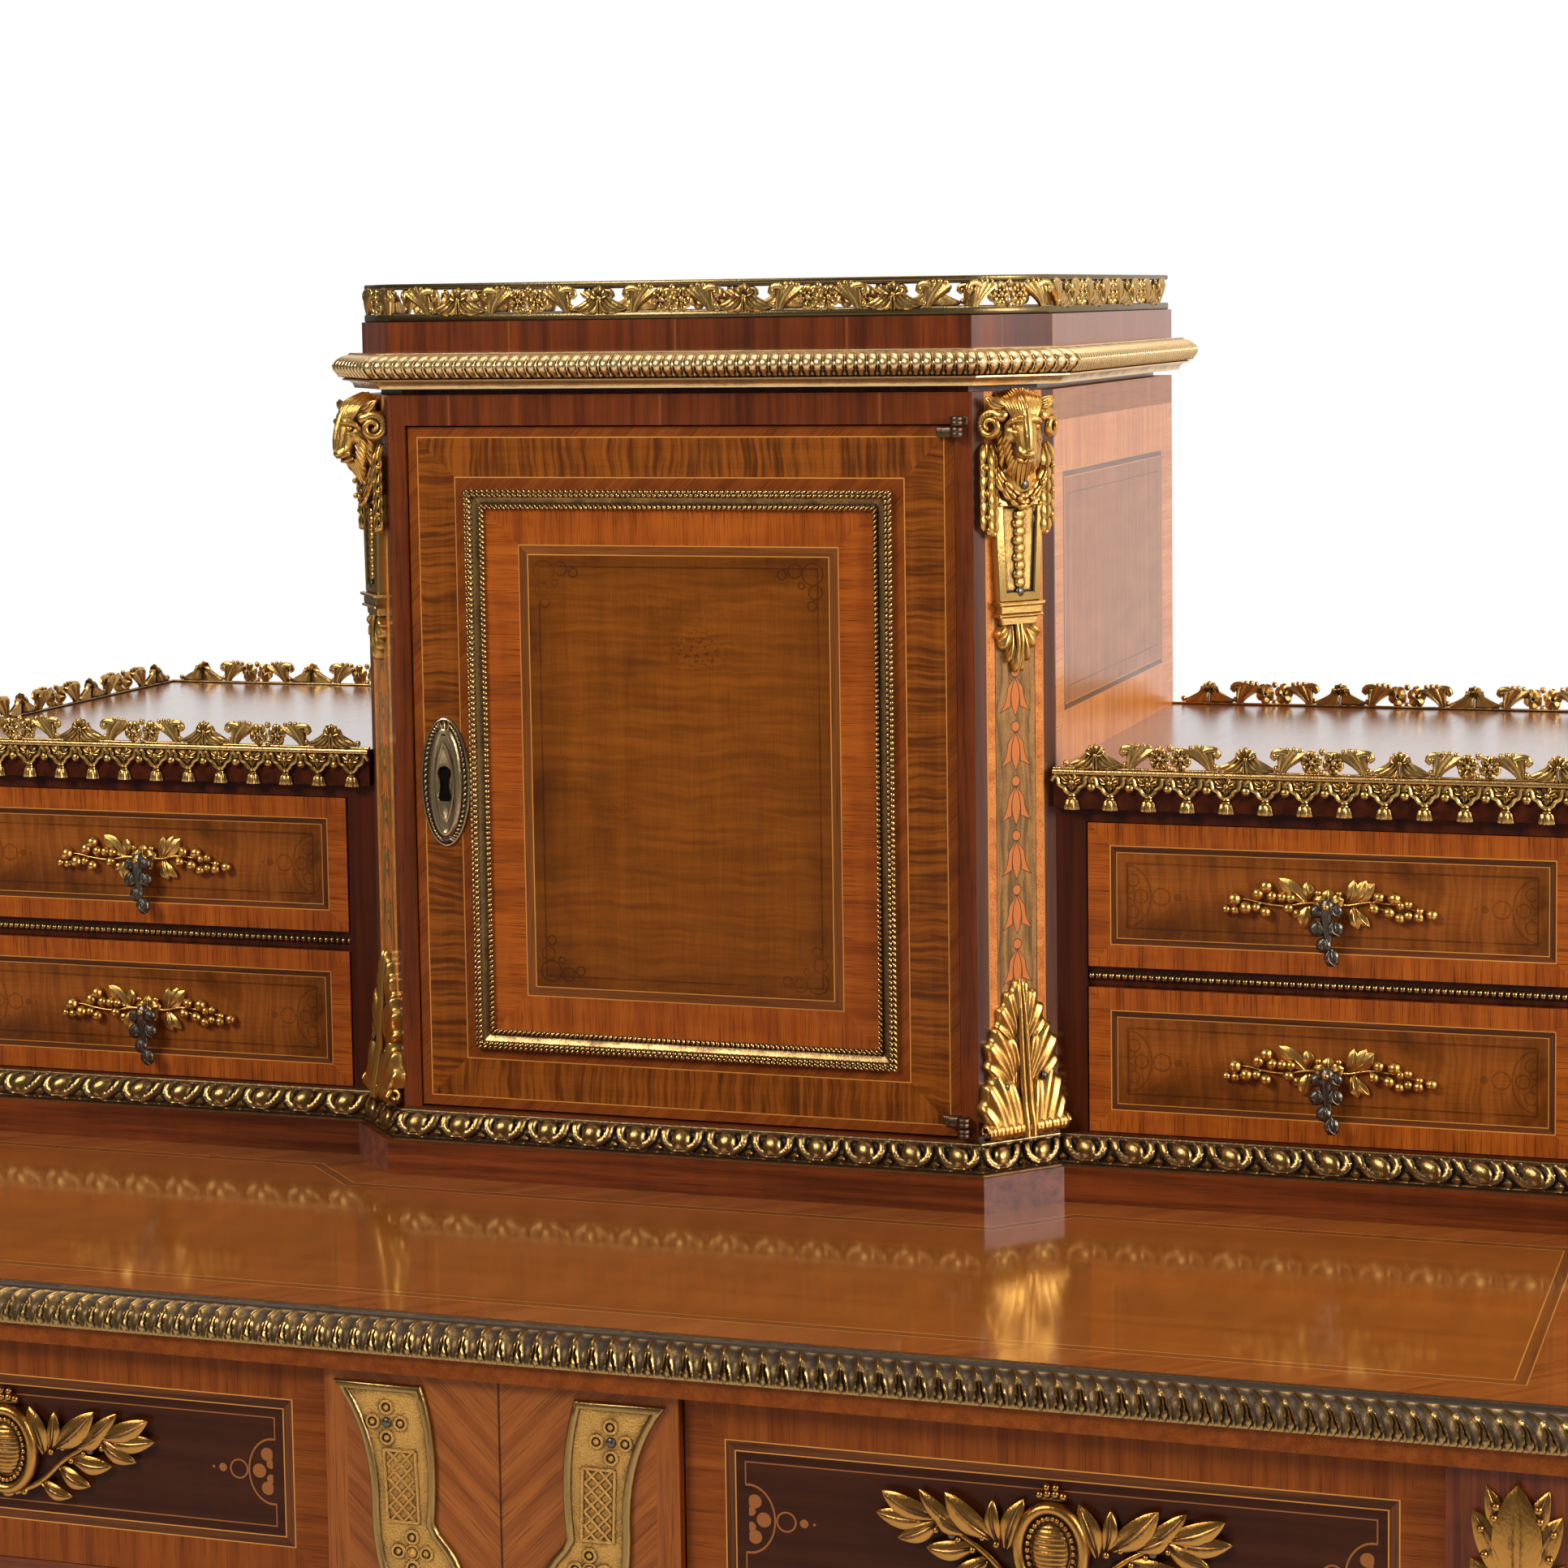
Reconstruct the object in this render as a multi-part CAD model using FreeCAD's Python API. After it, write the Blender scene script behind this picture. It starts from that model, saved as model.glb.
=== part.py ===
import FreeCAD, Part
import math
import os

os.makedirs("parts", exist_ok=True)
V = FreeCAD.Vector

# Bonheur du jour: a writing table that carries a small cabinet between two low wings.
# Millimetres, +Z up, +Y to the back, origin on the floor under the middle of the table.

# Writing table
table_width = 1006.0
table_depth = 606.0
table_height = 750.0
top_thickness = 25.4
edge_depth = 20.6            # gilt edge moulding, front to back
edge_height = 15.6
edge_overhang = 5.6          # moulding proud of the veneered band below it
edge_lip = 4.0               # flat fillet along the moulding's inner edge
edge_step = 1.2
edge_bead = 4.4
edge_crown_out = 2.8         # crown of the moulding off a straight chamfer
edge_crown_up = 1.8
block_setback = 11.7         # frieze blocks behind the front of the moulding
leg_side_setback = 13.5      # leg blocks in from the ends of the moulding
frieze_height = 124.6
leg_block = 60.0
leg_top = 48.0
leg_foot = 30.0
panel_recess = 6.0           # frieze panels and drawer fronts behind the leg blocks
panel_thickness = 18.0
centre_block_width = 174.8
centre_block_thickness = 24.0
partition_thickness = 15.0
rail_height = 13.0
rail_depth = 60.0
runner_width = 20.0
shoe_height = 72.0
shoe_wall = 2.2
shoe_sole = 4.0

# Base board of the upper part, the same all round the cabinet and wings
base_setback = 257.3         # base front behind the table's front
base_height = 18.3
base_front_extra = 5.4       # straight front of the base beyond the cabinet's, each side
base_cant_x = 33.3
base_cant_y = 34.7
egg_depth = 10.6
egg_height = 15.4
egg_setback = 0.5
egg_fillet = 2.6

# Cabinet
cabinet_half = 191.5
cabinet_setback = 11.1       # cabinet front behind the base front
cabinet_back_setback = 4.7   # back of the upper part in front of the table's back
cabinet_cant_x = 31.9
cabinet_height = 416.5       # cabinet top above the table top
floor_thickness = 16.7
carcass_thickness = 18.0
back_thickness = 12.0
post_depth = 41.4
shelf_thickness = 12.0
shelf_height = 180.0         # above the cabinet floor
shelf_setback = 14.0
top_rail_thickness = 20.0
top_rail_height = 16.1
stile_width = 9.2            # face of each corner post beside the door

# Door, pivots and lock
door_gap = 0.8
door_foot_gap = 1.2
door_setback = 2.2
door_thickness = 20.0
hinge_radius = 3.2
hinge_offset = 3.0           # pivot axis beyond the door's edge
hinge_height = 5.0
hinge_relief = 0.4
pin_radius = 1.5
pin_clearance = 0.05
leaf_width = 9.0
leaf_thickness = 1.5
frame_inset = 32.6           # door frame moulding in from the door's edges
frame_width = 12.0
frame_height = 5.0
lock_below_middle = 6.9      # key hole below the middle of the door
lock_inset = 17.5            # key hole in from the door's edge
lock_length = 46.0
lock_tall = 60.0
lock_thickness = 14.0
bolt_tall = 14.0
bolt_thick = 4.0
bolt_length = 30.0
bolt_clearance = 0.3
bolt_throw = 8.0
bolt_setback = 1.2
key_radius = 3.2
key_slot = 12.0
key_slot_width = 3.0
plate_tall = 69.0            # escutcheon
plate_wide = 28.5
plate_thick = 2.4
oval_sides = 16
oval_bevel = 0.8             # crown of an oval as a share of its foot

# Cap of the cabinet
neck_height = 3.2
neck_inset = 9.0
cornice_height = 18.6
cornice_depth = 16.5
cornice_cyma = 6.0
cornice_step = 7.5
cornice_groove = 0.6
cornice_hollow = 0.8
attic_height = 16.5
cap_gallery_height = 20.0
cap_gallery_inset = 2.0
gallery_thickness = 2.0
gallery_rail = 2.6
cap_gallery_pitch = 39.0

# Wings and their drawers
wing_margin = 37.0           # wings in from the ends of the table
wing_setback = 50.4          # wing face behind the base front
wing_height = 222.6          # wing top above the table top
wing_top_thickness = 20.0
wing_top_overhang = 5.0
wing_side_thickness = 9.2
wing_inner_thickness = 16.0
wing_floor_gap = 0.3         # wing floor above the egg moulding
dust_board = 10.2
dust_recess = 3.0
bead_height = 5.0
bead_depth = 2.5
lower_drawer_height = 75.2
slide_gap = 0.4
drawer_proud = 0.5
front_thickness = 16.0
drawer_side = 8.0
drawer_bottom = 5.0
drawer_back_gap = 16.1       # drawer boxes in front of the back
wing_rail_height = 7.2
crest_height = 14.0
crest_pitch = 41.0
crest_setback = 3.0
fringe_height = 19.4
fringe_thickness = 2.4
fringe_pitch = 20.0

# Frieze drawers
frieze_front_thickness = 18.0
frieze_box_side = 10.0
frieze_back_gap = 104.6
frieze_top_gap = 1.6

# Pulls and mounts
spray_length = 108.0
spray_height = 18.0
spray_thick = 6.4
pull_boss_radius = 8.0
drop_pin_radius = 1.6
drop_thick = 5.0
drop_length = 32.0
drop_width = 13.0
drop_gap = 0.3
drop_head = 2.0
drop_head_radius = 3.6
ram_top_gap = 2.0            # below the cabinet's top edge
ram_head_tall = 44.0
ram_head_wide = 21.0
ram_head_deep = 27.0
horn_radius = 6.4
horn_section = 4.4
horn_turns = (110, 50, -10, -70, -130, -190)   # degrees round the horn's eye, from its root
lock_wide = 11.0             # fleece hanging beside the head
lock_deep = 7.0
term_tall = 66.0
term_top = 24.0
term_bottom = 18.0
term_deep = 7.0
term_block = 13.0
term_block_wide = 24.0
term_block_deep = 9.0
term_leaf = 26.0
term_leaf_wide = 19.0
term_leaf_deep = 6.0
acanthus_tall = 82.0
acanthus_wide = 40.0
acanthus_deep = 12.0
strap_top_gap = 6.0
strap_bottom_gap = 10.0
strap_thick = 3.2
strap_reach = 82.0           # outer corner from the middle of the centre block
medal_wide = 35.0
medal_tall = 44.0
medal_deep = 8.0
laurel_reach = 84.0
laurel_thick = 5.0
leg_leaf_tall = 74.0
leg_leaf_wide = 41.0
leg_leaf_deep = 8.0

# Places worked out from those sizes
table_half = table_width / 2
y_front = -table_depth / 2
y_back = table_depth / 2
z_table = table_height
z_under = z_table - top_thickness
z_frieze = z_under - frieze_height
y_block = y_front + block_setback
leg_out = table_half - leg_side_setback
leg_in = leg_out - leg_block
leg_mid = leg_out - leg_block / 2
y_panel = y_block + panel_recess
centre_half = centre_block_width / 2
y_base = y_front + base_setback
y_cabinet = y_base + cabinet_setback
y_rear = y_back - cabinet_back_setback
y_wing = y_base + wing_setback
z_base = z_table + base_height
z_egg = z_base + egg_height
z_floor = z_base + floor_thickness
z_cabinet = z_table + cabinet_height
cabinet_flat = cabinet_half - cabinet_cant_x
base_front_half = cabinet_flat + base_front_extra
wing_half = table_half - wing_margin
y_inside = y_rear - back_thickness
y_post = y_cabinet + post_depth
opening_half = cabinet_flat - stile_width
door_half = opening_half - door_gap
y_door = y_cabinet + door_setback
z_sub = z_cabinet - top_rail_height
z_door = z_floor + door_foot_gap
z_door_top = z_sub - door_gap
y_wing_top = y_wing - wing_top_overhang
z_wing = z_table + wing_height
z_wing_under = z_wing - wing_top_thickness


def box(x0, x1, y0, y1, z0, z1):
    return Part.makeBox(x1 - x0, y1 - y0, z1 - z0, V(x0, y0, z0))


def wire(points):
    # Closed wire through points; an entry of two points is an arc through the first to the second.
    edges = []
    last = points[0]
    for entry in list(points[1:]) + [points[0]]:
        if isinstance(entry, tuple):
            edges.append(Part.Arc(last, entry[0], entry[1]).toShape())
            last = entry[1]
        elif (entry - last).Length > 1e-6:
            edges.append(Part.LineSegment(last, entry).toShape())
            last = entry
    return Part.Wire(edges)


def slab(points, direction):
    return Part.Face(wire(points)).extrude(direction)


def plan(points, z0, z1):
    return slab([V(x, y, z0) for x, y in points], V(0, 0, z1 - z0))


def mirrored(shape):
    return shape.mirror(V(0, 0, 0), V(1, 0, 0))


def pair(shapes):
    return list(shapes) + [mirrored(shape) for shape in shapes]


def save(name, *shapes):
    solids = [solid for shape in shapes for solid in shape.Solids]
    Part.makeCompound(solids).exportStep("parts/" + name + ".step")


# A path runs with its outer side on the right, so the left side, the front and the right side
# of a case follow one another.
def outward(start, end):
    length = math.hypot(end[0] - start[0], end[1] - start[1])
    return (end[1] - start[1]) / length, -(end[0] - start[0]) / length


def mitre(path, index, closed):
    count = len(path)
    before = outward(path[index - 1], path[index]) if closed or index > 0 else None
    after = outward(path[index], path[(index + 1) % count]) if closed or index < count - 1 else None
    before = before or after
    after = after or before
    spread = 1 + before[0] * after[0] + before[1] * after[1]
    return (before[0] + after[0]) / spread, (before[1] + after[1]) / spread


def offset(path, distance, closed=False):
    moved = []
    for index, (x, y) in enumerate(path):
        mx, my = mitre(path, index, closed)
        moved.append((x + mx * distance, y + my * distance))
    return moved


def runs(path, closed=False):
    ends = len(path) if closed else len(path) - 1
    return [(index, (index + 1) % len(path)) for index in range(ends)]


# Straight lengths of one section along a path, mitred where they meet.
def moulding(path, section, depth, z0, height, closed=False):
    outer = offset(path, depth, closed)
    lengths = []
    for first, second in runs(path, closed):
        (x0, y0), (x1, y1) = path[first], path[second]
        nx, ny = outward(path[first], path[second])
        dx, dy = -ny, nx
        start = V(x0 - dx * depth, y0 - dy * depth, z0)
        spread = [(start + V(nx * d, ny * d, z)) if not isinstance(d, tuple) else
                  (start + V(nx * d[0], ny * d[0], d[1]), start + V(nx * z[0], ny * z[0], z[1]))
                  for d, z in section]
        reach = math.hypot(x1 - x0, y1 - y0) + 2 * depth
        bar = slab(spread, V(dx * reach, dy * reach, 0))
        foot = [path[first], path[second], outer[second], outer[first]]
        lengths.append(bar.common(plan(foot, z0 - height, z0 + 2 * height)))
    return lengths


# Legs and metal shoes
def leg(x, y):
    block = box(x - leg_block / 2, x + leg_block / 2, y - leg_block / 2, y + leg_block / 2, z_frieze, z_under)
    return block.fuse(taper(x, y, leg_top, leg_foot, z_frieze, shoe_sole))


def taper(x, y, upper, lower, z_upper, z_lower):
    top, foot = upper / 2, lower / 2
    wedge = Part.makeWedge(-foot, z_lower, -foot, -top, -top, foot, z_upper, foot, top, top)
    wedge.rotate(V(0, 0, 0), V(1, 0, 0), 90)
    wedge.translate(V(x, y, 0))
    return wedge


def shoe(x, y):
    share = (shoe_height - shoe_sole) / (z_frieze - shoe_sole)
    side = leg_foot + (leg_top - leg_foot) * share + 2 * shoe_wall
    cup = taper(x, y, side, leg_foot + 2 * shoe_wall, shoe_height, 0)
    rim = box(x - side / 2 - shoe_wall / 2, x + side / 2 + shoe_wall / 2, y - side / 2 - shoe_wall / 2,
              y + side / 2 + shoe_wall / 2, shoe_height - 3 * shoe_wall, shoe_height)
    return cup.fuse(rim).cut(leg(x, y))


y_leg = -y_block - leg_block / 2
leg_places = [(-leg_mid, -y_leg), (leg_mid, -y_leg), (-leg_mid, y_leg), (leg_mid, y_leg)]
save("legs", *[leg(x, y) for x, y in leg_places])
save("leg_shoes", *[shoe(x, y) for x, y in leg_places])

# Frieze frame
panel_out = leg_out - panel_recess
panel_in = panel_out - panel_thickness
y_leg_front_back = y_block + leg_block
y_leg_rear_front = -y_block - leg_block
y_frieze_back = -y_block - panel_recess
y_frieze_inside = y_frieze_back - panel_thickness
side_panel = box(panel_in, panel_out, y_leg_front_back, y_leg_rear_front, z_frieze, z_under)
save("frieze_side_panels", *pair([side_panel]))
save("frieze_back_panel", box(-leg_in, leg_in, y_frieze_inside, y_frieze_back, z_frieze, z_under))
y_block_back = y_block + centre_block_thickness
save("frieze_centre_block", box(-centre_half, centre_half, y_block, y_block_back, z_frieze, z_under))
save("frieze_partitions", *pair([box(centre_half - partition_thickness, centre_half, y_block_back,
                                     y_frieze_inside, z_frieze, z_under)]))
y_rail_back = y_panel + rail_depth
z_rail = z_frieze + rail_height
save("frieze_bottom_rails", *pair([box(centre_half, leg_in, y_panel, y_rail_back, z_frieze, z_rail)]))
outer_runner = box(leg_in - runner_width, panel_in, y_rail_back, y_leg_rear_front, z_frieze, z_rail)
inner_runner = box(centre_half, centre_half + runner_width, y_rail_back, y_frieze_inside, z_frieze, z_rail)
save("frieze_drawer_runners", *pair([outer_runner, inner_runner]))

# Table top, rebated for its gilt edge
band_half = table_half - edge_overhang
y_band = y_front + edge_overhang
field_half = table_half - edge_depth
y_field = y_front + edge_depth
z_rebate = z_table - edge_height
lower_leaf = box(-band_half, band_half, y_band, y_back, z_under, z_rebate)
upper_leaf = box(-field_half, field_half, y_field, y_back, z_rebate, z_table)
save("table_top", lower_leaf.fuse(upper_leaf).removeSplitter())

edge_path = [(-field_half, y_back), (-field_half, y_field), (field_half, y_field), (field_half, y_back)]
edge_crown = ((edge_lip + edge_depth) / 2 + edge_crown_out, (edge_height + edge_bead) / 2 + edge_crown_up)
edge_section = [(0, 0), (0, edge_height), (edge_lip, edge_height), (edge_lip, edge_height - edge_step),
                (edge_crown, (edge_depth - edge_step, edge_bead)),
                ((edge_depth, edge_bead / 2), (edge_depth - edge_step, 0))]
save("table_edge_moulding", *moulding(edge_path, edge_section, edge_depth, z_rebate, edge_height))

# Base board of the upper part and its egg-and-dart moulding
base_half = wing_half + egg_depth + egg_setback
y_base_wing = y_base + base_cant_y
base_cant_half = base_front_half + base_cant_x
base_path = [(-base_half, y_rear), (-base_half, y_base_wing), (-base_cant_half, y_base_wing),
             (-base_front_half, y_base), (base_front_half, y_base), (base_cant_half, y_base_wing),
             (base_half, y_base_wing), (base_half, y_rear)]
save("upper_base", plan(base_path, z_table, z_base))
egg_path = offset(base_path, -egg_depth - egg_setback)
egg_bulge = 0.72 * egg_depth, 0.62 * egg_height
egg_section = [(0, 0), (0, egg_height), (egg_fillet, egg_height), (egg_fillet, egg_height - egg_fillet / 2),
               (egg_bulge, (egg_depth, egg_fillet)), (egg_depth, 0)]
save("egg_and_dart_moulding", *moulding(egg_path, egg_section, egg_depth, z_base, egg_height))

# Cabinet carcass
floor_path = egg_path[2:6]
floor_points = [(-cabinet_half, y_rear), (-cabinet_half, floor_path[0][1]), *floor_path,
                (cabinet_half, floor_path[3][1]), (cabinet_half, y_rear)]
body_path = [(-cabinet_half, y_rear), (-cabinet_half, y_wing), (-cabinet_flat, y_cabinet),
             (cabinet_flat, y_cabinet), (cabinet_half, y_wing), (cabinet_half, y_rear)]
floor_board = plan(floor_points, z_base, z_floor)
save("cabinet_floor", floor_board)
side_in = cabinet_half - carcass_thickness
save("cabinet_sides", *pair([box(side_in, cabinet_half, y_post, y_inside, z_floor, z_sub)]))
save("cabinet_back", box(-cabinet_half, cabinet_half, y_inside, y_rear, z_floor, z_sub))
y_rail_inside = y_cabinet + top_rail_thickness
save("cabinet_top_rail", box(-opening_half, opening_half, y_cabinet, y_rail_inside, z_sub, z_cabinet))
sub_top_points = [(-cabinet_half, y_rear), (-cabinet_half, y_post), (-opening_half, y_post),
                  (-opening_half, y_rail_inside), (opening_half, y_rail_inside), (opening_half, y_post),
                  (cabinet_half, y_post), (cabinet_half, y_rear)]
save("cabinet_sub_top", plan(sub_top_points, z_sub, z_cabinet))
z_shelf = z_floor + shelf_height
y_shelf = y_post + shelf_setback
save("cabinet_shelf", box(-side_in, side_in, y_shelf, y_inside, z_shelf, z_shelf + shelf_thickness))

post_points = [(opening_half, y_cabinet), (cabinet_flat, y_cabinet), (cabinet_half, y_wing),
               (cabinet_half, y_post), (opening_half, y_post)]
right_post = plan(post_points, z_floor, z_cabinet)
z_lock = (z_door + z_door_top) / 2 - lock_below_middle
y_bolt = y_door + door_thickness + lock_thickness / 2
mortise_reach = bolt_throw + bolt_clearance - door_gap + bolt_setback
half_mortise = bolt_tall / 2 + bolt_clearance
half_slot = bolt_thick / 2 + bolt_clearance
mortise = box(-opening_half - mortise_reach, -opening_half, y_bolt - half_slot, y_bolt + half_slot,
              z_lock - half_mortise, z_lock + half_mortise)
save("corner_posts", right_post, mirrored(right_post).cut(mortise))

# Door with its gilt frame
door_leaf = box(-door_half, door_half, y_door, y_door + door_thickness, z_door, z_door_top)
key_x = -door_half + lock_inset


def key_hole(y0, y1):
    turn = Part.makeCylinder(key_radius, y1 - y0, V(key_x, y0, z_lock), V(0, 1, 0))
    bit = box(key_x - key_slot_width / 2, key_x + key_slot_width / 2, y0, y1, z_lock - key_slot, z_lock)
    return turn.fuse(bit)


y_door_back = y_door + door_thickness
save("door_panel", door_leaf.cut(key_hole(y_door, y_door_back)))
frame_half = door_half - frame_inset
z_frame = z_door + frame_inset
z_frame_top = z_door_top - frame_inset


# Sides of a picture frame standing in the XZ plane, mitred, with a raised edge, a cove and a bead
def frame_side(start, end, inward):
    length = (end - start).Length
    along = (end - start) / length
    half = frame_width / 2
    hollow = frame_height * 0.45
    base = start - along * frame_width
    front = V(0, -1, 0)
    ridge = frame_width * 0.22
    points = [base, base + front * frame_height * 0.8, base + inward * ridge / 2 + front * frame_height,
              base + inward * ridge + front * frame_height * 0.8, base + inward * half + front * hollow,
              base + inward * (frame_width - ridge) + front * frame_height * 0.7,
              base + inward * frame_width + front * frame_height * 0.5, base + inward * frame_width]
    bar = slab(points, along * (length + 2 * frame_width))
    foot = [start, end, end + (inward - along) * frame_width, start + (inward + along) * frame_width]
    return bar.common(slab([p - front * frame_height for p in foot], front * 3 * frame_height))


frame_corners = [V(-frame_half, y_door, z_frame), V(frame_half, y_door, z_frame),
                 V(frame_half, y_door, z_frame_top), V(-frame_half, y_door, z_frame_top)]
frame_inward = [V(0, 0, 1), V(-1, 0, 0), V(0, 0, -1), V(1, 0, 0)]
frame_ends = frame_corners[1:] + frame_corners[:1]
save("door_frame_moulding", *[frame_side(*ends) for ends in zip(frame_corners, frame_ends, frame_inward)])


# Many-sided oval with a bevelled edge, standing out of a front face towards -Y
def oval(x, y, z, wide, tall, thick):
    turns = [2 * math.pi * side / oval_sides for side in range(oval_sides)]
    rings = []
    for out, share in ((0, 1.0), (thick, oval_bevel)):
        across, up = share * wide / 2, share * tall / 2
        ring = [V(x + across * math.cos(turn), y - out, z + up * math.sin(turn)) for turn in turns]
        rings.append(Part.makePolygon(ring + [ring[0]]))
    return Part.makeLoft(rings, True, True)


plate = oval(key_x, y_door, z_lock, plate_wide, plate_tall, plate_thick)
save("escutcheon", plate.cut(key_hole(y_door - plate_thick, y_door)))

# Lock on the inside of the door
case_left = -door_half + bolt_setback
case = box(case_left, case_left + lock_length, y_door_back, y_door_back + lock_thickness,
           z_lock - lock_tall / 2, z_lock + lock_tall / 2)
channel = box(case_left, case_left + bolt_length + bolt_clearance, y_bolt - half_slot, y_bolt + half_slot,
              z_lock - half_mortise, z_lock + half_mortise)
save("lock_case", case.cut(channel).cut(key_hole(y_door_back, y_bolt - half_slot)))
save("lock_bolt", box(case_left, case_left + bolt_length, y_bolt - bolt_thick / 2, y_bolt + bolt_thick / 2,
                      z_lock - bolt_tall / 2, z_lock + bolt_tall / 2))

# Pivot hinges at the door's right edge: a fixed knuckle with a pin, and a leaf on the door that turns on it
hinge_x = door_half + hinge_offset
y_hinge = y_cabinet - hinge_radius - hinge_relief


def knuckle(z0, z1, radius):
    return Part.makeCylinder(radius, z1 - z0, V(hinge_x, y_hinge, z0), V(0, 0, 1))


def fixed_knuckle(z_joint, up):
    z_near = z_joint + up * hinge_relief
    low, high = sorted((z_near, z_near + up * hinge_height))
    block = box(opening_half, hinge_x + hinge_radius, y_hinge - hinge_radius, y_cabinet, low, high)
    z_pin, z_root = sorted((z_joint - up * hinge_height, z_near))
    return block.fuse(knuckle(z_pin, z_root, pin_radius))


def door_knuckle(z_joint, up):
    low, high = sorted((z_joint, z_joint - up * (hinge_height + hinge_relief)))
    leaf = box(door_half - leaf_width, hinge_x, y_door - leaf_thickness, y_door, low, high)
    leaf = leaf.cut(box(door_half, hinge_x, y_door - leaf_thickness, y_door, low, high))
    y_arm = y_hinge - leaf_thickness / 2
    arm = box(door_half - leaf_width / 2, hinge_x, y_arm, y_door - leaf_thickness, low, high)
    arm = arm.cut(box(opening_half - door_gap / 2, hinge_x, y_cabinet - hinge_relief, y_door, low, high))
    turning = knuckle(low, high, hinge_radius).fuse(arm).fuse(leaf)
    return turning.cut(knuckle(low, high, pin_radius + pin_clearance))


hinge_joints = [(z_door_top - hinge_relief, 1), (z_door + hinge_height + 2 * hinge_relief, -1)]
save("hinge_plates", *[fixed_knuckle(z, up) for z, up in hinge_joints])
save("hinge_leaves", *[door_knuckle(z, up) for z, up in hinge_joints])

# Cap: board on a recessed neck, gilt cornice and pierced gallery
z_cornice = z_cabinet + neck_height
z_attic = z_cornice + cornice_height
z_cap = z_attic + attic_height
neck = plan(offset(body_path, -neck_inset, True), z_cabinet, z_cornice)
save("cornice_board", neck.fuse(plan(body_path, z_cornice, z_cap)).removeSplitter())
torus_low = cornice_cyma + cornice_groove
cornice_section = [(0, 0), (0, cornice_height), (cornice_step, cornice_height),
                   ((cornice_depth, (cornice_height + torus_low) / 2), (cornice_step, torus_low)),
                   ((cornice_step - cornice_hollow, cornice_cyma / 2), (cornice_step / 2, 0))]
save("cornice_moulding", *moulding(body_path, cornice_section, cornice_depth, z_cornice, cornice_height))


# Upright plate between two points of a path, mitred, its outline given along the run and upwards
def upright(path, first, second, closed, outline, thick):
    (x0, y0), (x1, y1) = path[first], path[second]
    nx, ny = outward(path[first], path[second])
    dx, dy = -ny, nx
    placed = []
    for entry in outline:
        spots = entry if isinstance(entry[0], tuple) else (entry,)
        moved = tuple(V(x0 + dx * s, y0 + dy * s, z) for s, z in spots)
        placed.append(moved if len(moved) == 2 else moved[0])
    inner = offset(path, -thick, closed)
    foot = [path[first], path[second], inner[second], inner[first]]
    foot = plan(foot, z_frieze, z_cap + cap_gallery_height)
    return slab(placed, V(-nx * thick, -ny * thick, 0)).common(foot)


def run_length(path, first, second):
    return math.hypot(path[second][0] - path[first][0], path[second][1] - path[first][1])


# Gallery of the cap: two rails joined by a wavy stem, open above and below each bend
def cap_gallery(path, first, second):
    length = run_length(path, first, second)
    count = max(1, round(length / cap_gallery_pitch))
    step = length / count
    z0, z1 = z_cap, z_cap + cap_gallery_height
    low, high = z0 + gallery_rail, z1 - gallery_rail
    whole = [(0, z0), (length, z0), (length, z1), (0, z1)]
    panel = upright(path, first, second, True, whole, gallery_thickness)
    rim = gallery_rail
    holes = [[(s + 0.16 * step, high), (s + 0.84 * step, high), (s + 0.64 * step, low + rim),
              (s + 0.36 * step, low + rim)] for s in [number * step for number in range(count)]]
    holes += [[(s - 0.28 * step, low), (s + 0.28 * step, low), (s, high - rim / 2)]
              for s in [number * step for number in range(1, count)]]
    for hole in holes:
        panel = panel.cut(upright(path, first, second, True, hole, gallery_thickness))
    return panel


cap_path = offset(body_path, -cap_gallery_inset, True)
save("cap_gallery", *[cap_gallery(cap_path, first, second) for first, second in runs(cap_path, True)])

# Wing cases, the right one mirrored for the left
wing_in = cabinet_half
y_wing_floor = egg_path[2][1]
z_wing_floor = z_egg + wing_floor_gap
drawer_bay_in = wing_in + wing_inner_thickness
drawer_bay_out = wing_half - wing_side_thickness
z_dust = z_wing_floor + 2 * slide_gap + lower_drawer_height
z_upper = z_dust + dust_board
z_wing_rail = z_wing_under - wing_rail_height
y_dust = y_wing + dust_recess
wing_floor = box(wing_in, wing_half, y_wing_floor, y_inside, z_base, z_wing_floor).cut(floor_board)
wing_solids = [
    wing_floor,
    box(drawer_bay_out, wing_half, y_wing, y_inside, z_wing_floor, z_wing_under),
    box(wing_in, drawer_bay_in, y_wing, y_inside, z_wing_floor, z_wing_under).cut(floor_board),
    box(drawer_bay_in, drawer_bay_out, y_dust, y_inside, z_dust, z_upper),
    box(drawer_bay_in, drawer_bay_out, y_wing, y_wing + carcass_thickness, z_wing_rail, z_wing_under),
    box(wing_in, wing_half, y_inside, y_rear, z_base, z_wing_under),
]
save("wing_cases", *pair(wing_solids))
z_bead = (z_dust + z_upper - bead_height) / 2
bead_points = [V(drawer_bay_in, y_dust, z_bead),
               (V(drawer_bay_in, y_dust - bead_depth, z_bead + bead_height / 2),
                V(drawer_bay_in, y_dust, z_bead + bead_height))]
save("bead_strips", *pair([slab(bead_points, V(drawer_bay_out - drawer_bay_in, 0, 0))]))
wing_top_out = wing_half + wing_top_overhang / 2
save("wing_tops", *pair([box(wing_in, wing_top_out, y_wing_top, y_rear, z_wing_under, z_wing)]))


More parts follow.
